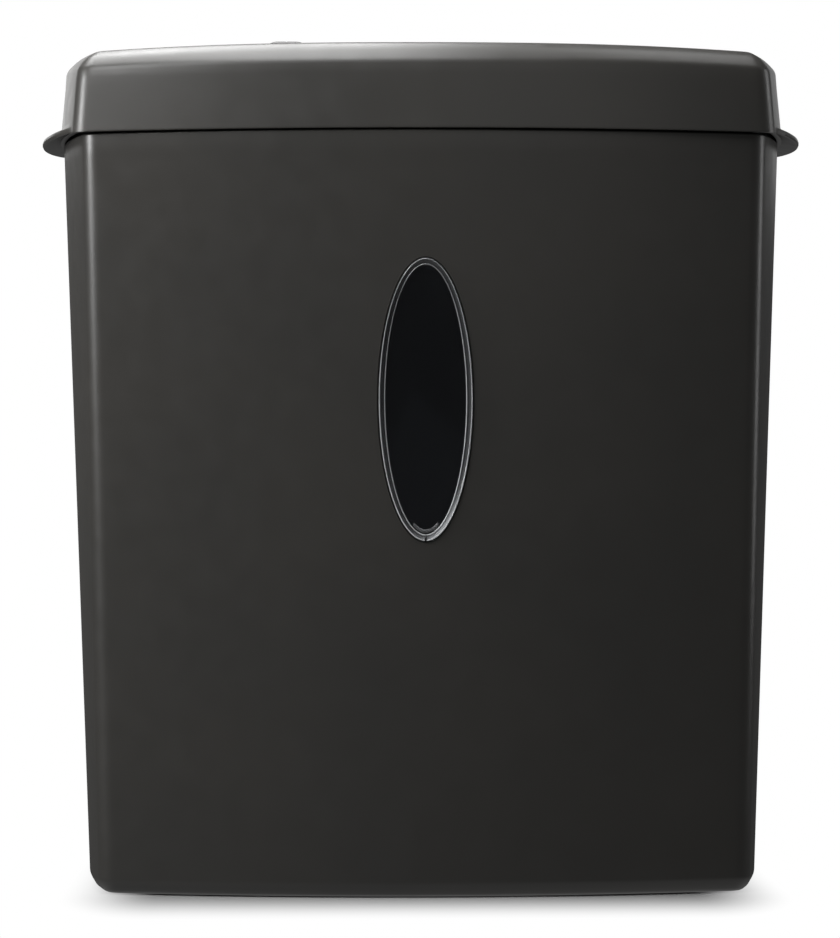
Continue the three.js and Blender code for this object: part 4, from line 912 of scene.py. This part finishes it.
def lower_housing():
    flange_low, flange_high = TRAY_FLANGE
    inside = TRAY_INSET + TRAY_WALL
    profile = [
        (TRAY_INSET + 9, TRAY_Z0),
        (TRAY_INSET + 3, TRAY_Z0),
        (TRAY_INSET + 1.1, TRAY_Z0 + 0.35),
        (TRAY_INSET + 0.3, TRAY_Z0 + 1.2),
        (TRAY_INSET, TRAY_Z0 + 3),
        *[(TRAY_INSET, z) for z in span(TRAY_Z0 + 3, flange_low - 1, 12)[1:]],
        (TRAY_INSET, flange_low),
        (TRAY_FLANGE_INSET + 0.3, flange_low),
        (TRAY_FLANGE_INSET, flange_low + 0.3),
        (TRAY_FLANGE_INSET, flange_high - 0.3),
        (TRAY_FLANGE_INSET + 0.3, flange_high),
        (inside, flange_high),
        (inside, TRAY_FLOOR + 3),
        (inside + 0.8, TRAY_FLOOR + 0.8),
        (inside + 3, TRAY_FLOOR),
        (inside + 9, TRAY_FLOOR),
    ]
    tray = new_object(
        "lower_housing_fine", lofted([outline(bin_size(z), inset, z) for inset, z in profile])
    )
    under = TRAY_Z0 - 1
    post_span = (TRAY_Z0 + 1, flange_high - 0.3)
    carve(tray, "UNION", *[rod(TRAY_POST_RADIUS, post_span, at) for at in COVER_POSTS])
    radius, seat = SCREW_WELL
    wells = [rod(radius, (under, seat), at) for at in COVER_POSTS]
    radius, end = SCREW_HOLE
    holes = [rod(radius, (seat - 1, end), at, 16) for at in COVER_POSTS]
    radius, end = BLOCK_HOLE
    block_holes = [rod(radius, (under, end), at, 16) for at in BLOCK_SCREWS]
    chute = box(*CHUTE, (under, TRAY_FLOOR + 1))
    plunger = rod(PLUNGER_HOLE_RADIUS, (under, TRAY_FLOOR + 1), PLUNGER_AT, 24)
    carve(tray, "DIFFERENCE", chute, plunger, *wells, *holes, *block_holes)
    hand_over(tray, "head", "trim", "lower_housing")


def feed_bezel():
    flange_z = COVER_TOP_Z + 0.3
    neck = shrunk(SLOT, -4)
    mouth = (SLOT[0] + 9.4, BEZEL[1] - 14.2)

    def ring(size, radius, z):
        return rounded_rectangle(size, radius, z, (0, THROAT_Y), steps=8)

    rings = [
        ring(neck, 1.5, SLOT_Z),
        ring(neck, 1.5, FUNNEL_Z),
        ring(shrunk(BEZEL, 7), 3, flange_z - 1),
        ring(shrunk(BEZEL, 7), 3, flange_z),
        ring(BEZEL, 4, flange_z),
        ring(BEZEL, 4, BEZEL_TOP_Z - 0.7),
        ring(shrunk(BEZEL, 0.4), 3.9, BEZEL_TOP_Z - 0.25),
        ring(shrunk(BEZEL, 1.4), 3.6, BEZEL_TOP_Z),
        ring(shrunk(mouth, -3.2), 3.5, BEZEL_TOP_Z),
        ring(shrunk(mouth, -1.2), 3.3, BEZEL_TOP_Z - 0.35),
        ring(mouth, 3.1, BEZEL_TOP_Z - 1.2),
        ring((SLOT[0] + 1.4, SLOT[1] + 2.6), 2, FUNNEL_Z + 2.6),
        ring((SLOT[0] + 0.3, SLOT[1] + 0.6), 1, FUNNEL_Z + 0.4),
        ring(SLOT, 0.6, FUNNEL_Z - 2),
        ring(SLOT, 0.6, SLOT_Z),
    ]
    bezel = new_object("feed_bezel_fine", lofted(rings, closed=True))
    half, top = LEVER_NOTCH
    notch = box((-half, half), (THROAT_Y, THROAT_Y + BEZEL[1] / 2), (SLOT_Z - 1, top))
    carve(bezel, "DIFFERENCE", notch)
    hand_over(bezel, "head", "trim", "feed_bezel")


def control_panel():
    low, high = PANEL_Z
    rings = [
        rounded_rectangle(PANEL, 1.5, low, SWITCH_AT),
        rounded_rectangle(PANEL, 1.5, high - 0.4, SWITCH_AT),
        rounded_rectangle(shrunk(PANEL, 0.2), 1.4, high - 0.12, SWITCH_AT),
        rounded_rectangle(shrunk(PANEL, 0.8), 1.2, high, SWITCH_AT),
    ]
    panel = new_object("control_panel_fine", lofted(rings))
    tab_size, tab_top = PANEL_TAB
    tabs = lofted([rounded_rectangle(tab_size, 1, z, SWITCH_AT) for z in (low, tab_top)])
    carve(panel, "UNION", tabs)
    x, y = SWITCH_AT
    recess = lofted([
        rounded_rectangle(KNOB_RECESS, 2.5, z, SWITCH_AT) for z in (KNOB_Z0 - 0.3, high + 2)
    ])
    half_x, half_y = STEM_SLOT_HALF
    through = (low - 1, high + 1)
    stem_slot = box((x - half_x, x + half_x), (y - half_y, y + half_y), through)
    led_holes = [rod(LED_HOLE_RADIUS, through, (x + side * LED_OFFSET, y)) for side in (-1, 1)]
    radius, depth = DOT
    dots = [
        rod(radius, (high - depth, high + 1), (x + step * KNOB_STEP, y + DOTS_BEHIND), 16)
        for step in (-1, 0, 1)
    ]
    carve(panel, "DIFFERENCE", recess, stem_slot, *led_holes, *dots)
    hand_over(panel, "head", "trim", "control_panel")


def mode_knob():
    """A domed sliding cap with a thumb groove, and a stem that reaches the switch."""
    rings = [
        rounded_rectangle(shrunk(KNOB, by), radius, z, SWITCH_AT)
        for by, radius, z in [
            (0.5, 1.2, KNOB_Z0),
            (0, 1.4, KNOB_Z0 + 0.3),
            (0, 1.4, KNOB_TOP_Z - 1.5),
            (0.4, 1.4, KNOB_TOP_Z - 1.1),
            (1.6, 1.3, KNOB_TOP_Z - 0.7),
            (3.4, 1.2, KNOB_TOP_Z - 0.35),
            (5.6, 1.0, KNOB_TOP_Z - 0.1),
            (7.6, 0.8, KNOB_TOP_Z),
        ]
    ]
    knob = new_object("mode_switch_knob_fine", lofted(rings))
    x, y = SWITCH_AT
    half, depth = KNOB_GROOVE
    groove = box((x - half, x + half), (y - 6, y + 6), (KNOB_TOP_Z - depth, KNOB_TOP_Z + 3))
    carve(knob, "DIFFERENCE", groove)
    half_x, half_y = STEM_HALF
    stem = box((x - half_x, x + half_x), (y - half_y, y + half_y), (STEM_Z0, KNOB_Z0 + 1))
    carve(knob, "UNION", stem)
    hand_over(knob, "mode_switch", "trim", "mode_switch_knob")


def led_lens(side, node):
    foot, top = LED_Z
    shoulder = top - LED_DOME
    profile = [
        (LED_TIP_RADIUS, foot),
        (LED_FLANGE_RADIUS - 0.2, foot),
        (LED_FLANGE_RADIUS, foot + 0.2),
        (LED_FLANGE_RADIUS, foot + 1.2),
        (LED_RADIUS, foot + 1.2),
        (LED_RADIUS, shoulder),
        *[(LED_RADIUS * math.cos(a), shoulder + LED_DOME * math.sin(a)) for a in (0.4, 0.8, 1.2)],
        (LED_TIP_RADIUS, top),
    ]
    x, y = SWITCH_AT
    rings = [circle(radius, z, (x + side * LED_OFFSET, y)) for radius, z in profile]
    hand_over(new_object(node + "_fine", lofted(rings)), "head", "led", node, sharp=40)


def cord_gland():
    profile = [
        (GLAND_BORE, -6),
        (GLAND_RADIUS, -6),
        (GLAND_RADIUS, -5.4),
        (GLAND_RADIUS + 1.2, -5.4),
        (GLAND_RADIUS + 1.4, -5.2),
        (GLAND_RADIUS + 1.4, -3.5),
        (GLAND_RADIUS, -3.5),
        (GLAND_RADIUS, 0.6),
        (GLAND_RADIUS + 2.6, 0.6),
        (GLAND_RADIUS + 2.6, 1.4),
        (GLAND_RADIUS + 2.2, 2.1),
        (GLAND_RADIUS + 1.2, 2.5),
        (GLAND_BORE + 0.9, 2.5),
        (GLAND_BORE + 0.25, 2.2),
        (GLAND_BORE, 1.5),
    ]
    gland = new_object("cord_gland_fine", placed(turned(profile), gland_matrix()))
    hand_over(gland, "head", "rubber", "cord_gland")


# ---------------------------------------------------------------- cutter rollers


def disc_ring(x, toothed, centre_y, turn):
    """Hooked teeth rise slowly and drop at once; a spacer is round."""
    ring = []
    for i in range(DISC_TEETH * POINTS_PER_TOOTH):
        tooth_share = (i % POINTS_PER_TOOTH) / (POINTS_PER_TOOTH - 1)
        radius = DISC_RADIUS - DISC_HOOK * (1 - tooth_share) if toothed else SPACER_RADIUS
        angle = 2 * math.pi * i / (DISC_TEETH * POINTS_PER_TOOTH) + turn
        ring.append((x, centre_y + radius * math.cos(angle), CUTTER_Z + radius * math.sin(angle)))
    return ring


def hex_ring(x, centre_y):
    """The hexagonal bore, with as many points as a disc's ring."""
    count = DISC_TEETH * POINTS_PER_TOOTH
    ring = []
    for i in range(count):
        angle = 2 * math.pi * i / count
        inside = (angle % (math.pi / 3)) - math.pi / 6
        radius = HEX_BORE * math.cos(math.pi / 6) / math.cos(inside)
        ring.append((x, centre_y + radius * math.cos(angle), CUTTER_Z + radius * math.sin(angle)))
    return ring


def cutter_stack(name):
    y, discs = ROLLER_Y[name], ROLLER_DISCS[name]
    rings = [hex_ring(STACK_HALF_LENGTH, y), hex_ring(-STACK_HALF_LENGTH, y)]
    rings.append(disc_ring(-STACK_HALF_LENGTH, False, y, 0))
    for i in range(discs):
        middle = (i - (discs - 1) / 2) * DISC_PITCH
        turn = i * DISC_TWIST
        half = DISC_THICKNESS / 2
        rings += [
            disc_ring(middle - half, False, y, 0),
            disc_ring(middle - half, True, y, turn),
            disc_ring(middle + half, True, y, turn),
            disc_ring(middle + half, False, y, 0),
        ]
    rings.append(disc_ring(STACK_HALF_LENGTH, False, y, 0))
    stack = new_object(f"cutter_stack_{name}_fine", lofted(rings, closed=True))
    hand_over(stack, f"cutter_{name}", "dark_steel", f"cutter_stack_{name}", sharp=25)


# ---------------------------------------------------------------- carried-over nodes


def dress_frame_nodes():
    """Gives each CAD node that still shows the material of its record slot."""
    for part in frame["record"]["subparts"]:
        materials = frame["nodes"][part["node"]].data.materials
        materials.clear()
        materials.append(MATERIALS[part["material_slot"]])


bin_shell()
window_lens()
snap_tab()
top_cover()
lower_housing()
feed_bezel()
control_panel()
mode_knob()
led_lens(-1, "led_lens_left")
led_lens(1, "led_lens_right")
cord_gland()
cutter_stack("front")
cutter_stack("rear")
dress_frame_nodes()

# ---------------------------------------------------------------- stage, lights and camera
# Everything on the stage is in metres.

FILL = (0.45, 0.06)  # brightness of the surroundings from below and from above
FILL_HEIGHTS = (-0.6, -0.15)  # and the directions' Z values over which it changes
# The floor is painted grey near the object's footprint as a contact shadow, over the real
# shadows it takes, and turns plain white with the distance from the footprint
PAINTED_SHADOW_GREY = 0.22
FLOOR_FOOTPRINT = (0.125, 0.085, 1)  # half sizes
FLOOR_STRETCH = (2.6, 1, 1)  # how much faster it fades along X than along Y
FLOOR_FADE = 0.125
FLOOR_WIDTH = 6
FLOOR_CORNER = 0.9
FLOOR_HEIGHTS = (-0.02, -0.0004)
LIGHTS = [
    # name, place, target, size, power in watts
    ("top_softbox", (-0.15, -0.10, 1.05), (-0.05, -0.10, 0.38), (1.4, 0.35), 12.5),
    ("top_left_card", (-0.45, 0.16, 1.05), (-0.13, -0.10, 0.39), (0.42, 0.3), 4.2),
    ("top_right_card", (0.30, 0.0, 1.0), (0.12, -0.10, 0.39), (0.3, 0.25), 0.8),
    ("key_left", (-0.62, -0.60, 0.88), (-0.10, -0.1, 0.36), (0.4, 0.4), 4.1),
    ("front_fill", (0.5, -1.7, 0.9), (0.05, 0, 0.25), (0.9, 0.9), 0.9),
    ("left_strip", (-1.3, -0.25, 0.58), (-0.15, -0.08, 0.34), (0.3, 0.34), 11),
    ("left_rear_card", (-0.68, 1.5, 0.72), (-0.17, 0, 0.36), (0.7, 0.42), 1.6),
    ("right_rear_card", (0.62, 1.5, 0.66), (0.17, 0, 0.36), (0.6, 0.45), 0.6),
    ("right_strip", (1.15, 0.32, 0.50), (0.17, -0.05, 0.28), (0.25, 0.8), 2.0),
]
CAMERA_AT = (-0.0443, -2.1145, 0.1819)
CAMERA_HEADING = math.atan2(0.0443, 2.1145) - 0.00023
CAMERA_ROLL = math.radians(0.08)
CAMERA_LENS = 165.2
CAMERA_SENSOR = 36
CAMERA_SHIFT_Y = 0.0421


def floor():
    """A floor with a painted grey contact shadow round the object, over the real shadows it takes,
    that blends into the white background away from the object.
    """
    size = (FLOOR_WIDTH / MM, FLOOR_WIDTH / MM)
    plane = new_object("studio_floor", lofted([
        rounded_rectangle(size, FLOOR_CORNER / MM, z / MM) for z in FLOOR_HEIGHTS
    ]))
    # the grey base is a painted contact shadow; the white emission further out is the backdrop
    shader = Shader("floor_with_painted_shadow", (PAINTED_SHADOW_GREY, PAINTED_SHADOW_GREY, PAINTED_SHADOW_GREY), 0.9)
    place = shader.place
    for operation, operand in [
        ("ABSOLUTE", (0, 0, 0)),
        ("SUBTRACT", FLOOR_FOOTPRINT),
        ("MAXIMUM", (0, 0, 0)),
        ("MULTIPLY", FLOOR_STRETCH),
        ("LENGTH", (0, 0, 0)),
    ]:
        step = shader.node("ShaderNodeVectorMath")
        step.operation = operation
        shader.feed(step.inputs[0], place)
        step.inputs[1].default_value = operand
        place = step.outputs["Value" if operation == "LENGTH" else "Vector"]
    fade = shader.node("ShaderNodeMapRange", Value=place)
    fade.interpolation_type = "SMOOTHSTEP"
    fade.inputs["From Max"].default_value = FLOOR_FADE
    white = shader.node("ShaderNodeEmission", Strength=1.0)
    mix = shader.node("ShaderNodeMixShader", Fac=fade.outputs[0])
    shader.tree.links.new(shader.surface.outputs[0], mix.inputs[1])
    shader.tree.links.new(white.outputs[0], mix.inputs[2])
    output = shader.tree.nodes["Material Output"]
    shader.tree.links.new(mix.outputs[0], output.inputs[0])
    plane.data.materials.append(shader.material)
    plane.visible_diffuse = False
    plane.visible_glossy = False


def area_light(name, place, target, size, power):
    light = bpy.data.lights.new(name, "AREA")
    light.shape = "RECTANGLE"
    light.size, light.size_y = size
    light.energy = power
    obj = bpy.data.objects.new(name, light)
    obj.visible_camera = False
    obj.location = place
    obj.rotation_euler = (Vector(target) - Vector(place)).to_track_quat("-Z", "Y").to_euler()
    bpy.context.scene.collection.objects.link(obj)


def background(nodes):
    made = nodes.new("ShaderNodeBackground")
    made.inputs["Color"].default_value = (1, 1, 1, 1)
    return made


def world():
    """White behind the object for the camera, and a dim fill, stronger from below, for the rest."""
    made = bpy.data.worlds.new("studio")
    made.use_nodes = True
    nodes, links = made.node_tree.nodes, made.node_tree.links
    direction = nodes.new("ShaderNodeSeparateXYZ")
    links.new(nodes.new("ShaderNodeTexCoord").outputs["Generated"], direction.inputs[0])
    height = nodes.new("ShaderNodeMapRange")
    links.new(direction.outputs["Z"], height.inputs["Value"])
    for socket, value in zip(("From Min", "From Max", "To Min", "To Max"), (*FILL_HEIGHTS, *FILL)):
        height.inputs[socket].default_value = value
    dim, white = background(nodes), background(nodes)
    links.new(height.outputs[0], dim.inputs["Strength"])
    mix = nodes.new("ShaderNodeMixShader")
    links.new(nodes.new("ShaderNodeLightPath").outputs["Is Camera Ray"], mix.inputs[0])
    links.new(dim.outputs[0], mix.inputs[1])
    links.new(white.outputs[0], mix.inputs[2])
    links.new(mix.outputs[0], nodes["World Output"].inputs[0])
    bpy.context.scene.world = made


def camera():
    data = bpy.data.cameras.new("camera")
    data.sensor_width = CAMERA_SENSOR
    data.lens = CAMERA_LENS
    data.shift_y = CAMERA_SHIFT_Y
    obj = bpy.data.objects.new("camera", data)
    obj.location = CAMERA_AT
    obj.rotation_euler = (math.pi / 2, CAMERA_ROLL, -CAMERA_HEADING)
    bpy.context.scene.collection.objects.link(obj)
    bpy.context.scene.camera = obj


floor()
world()
for light in LIGHTS:
    area_light(*light)
camera()
bpy.context.scene.view_settings.view_transform = "Standard"
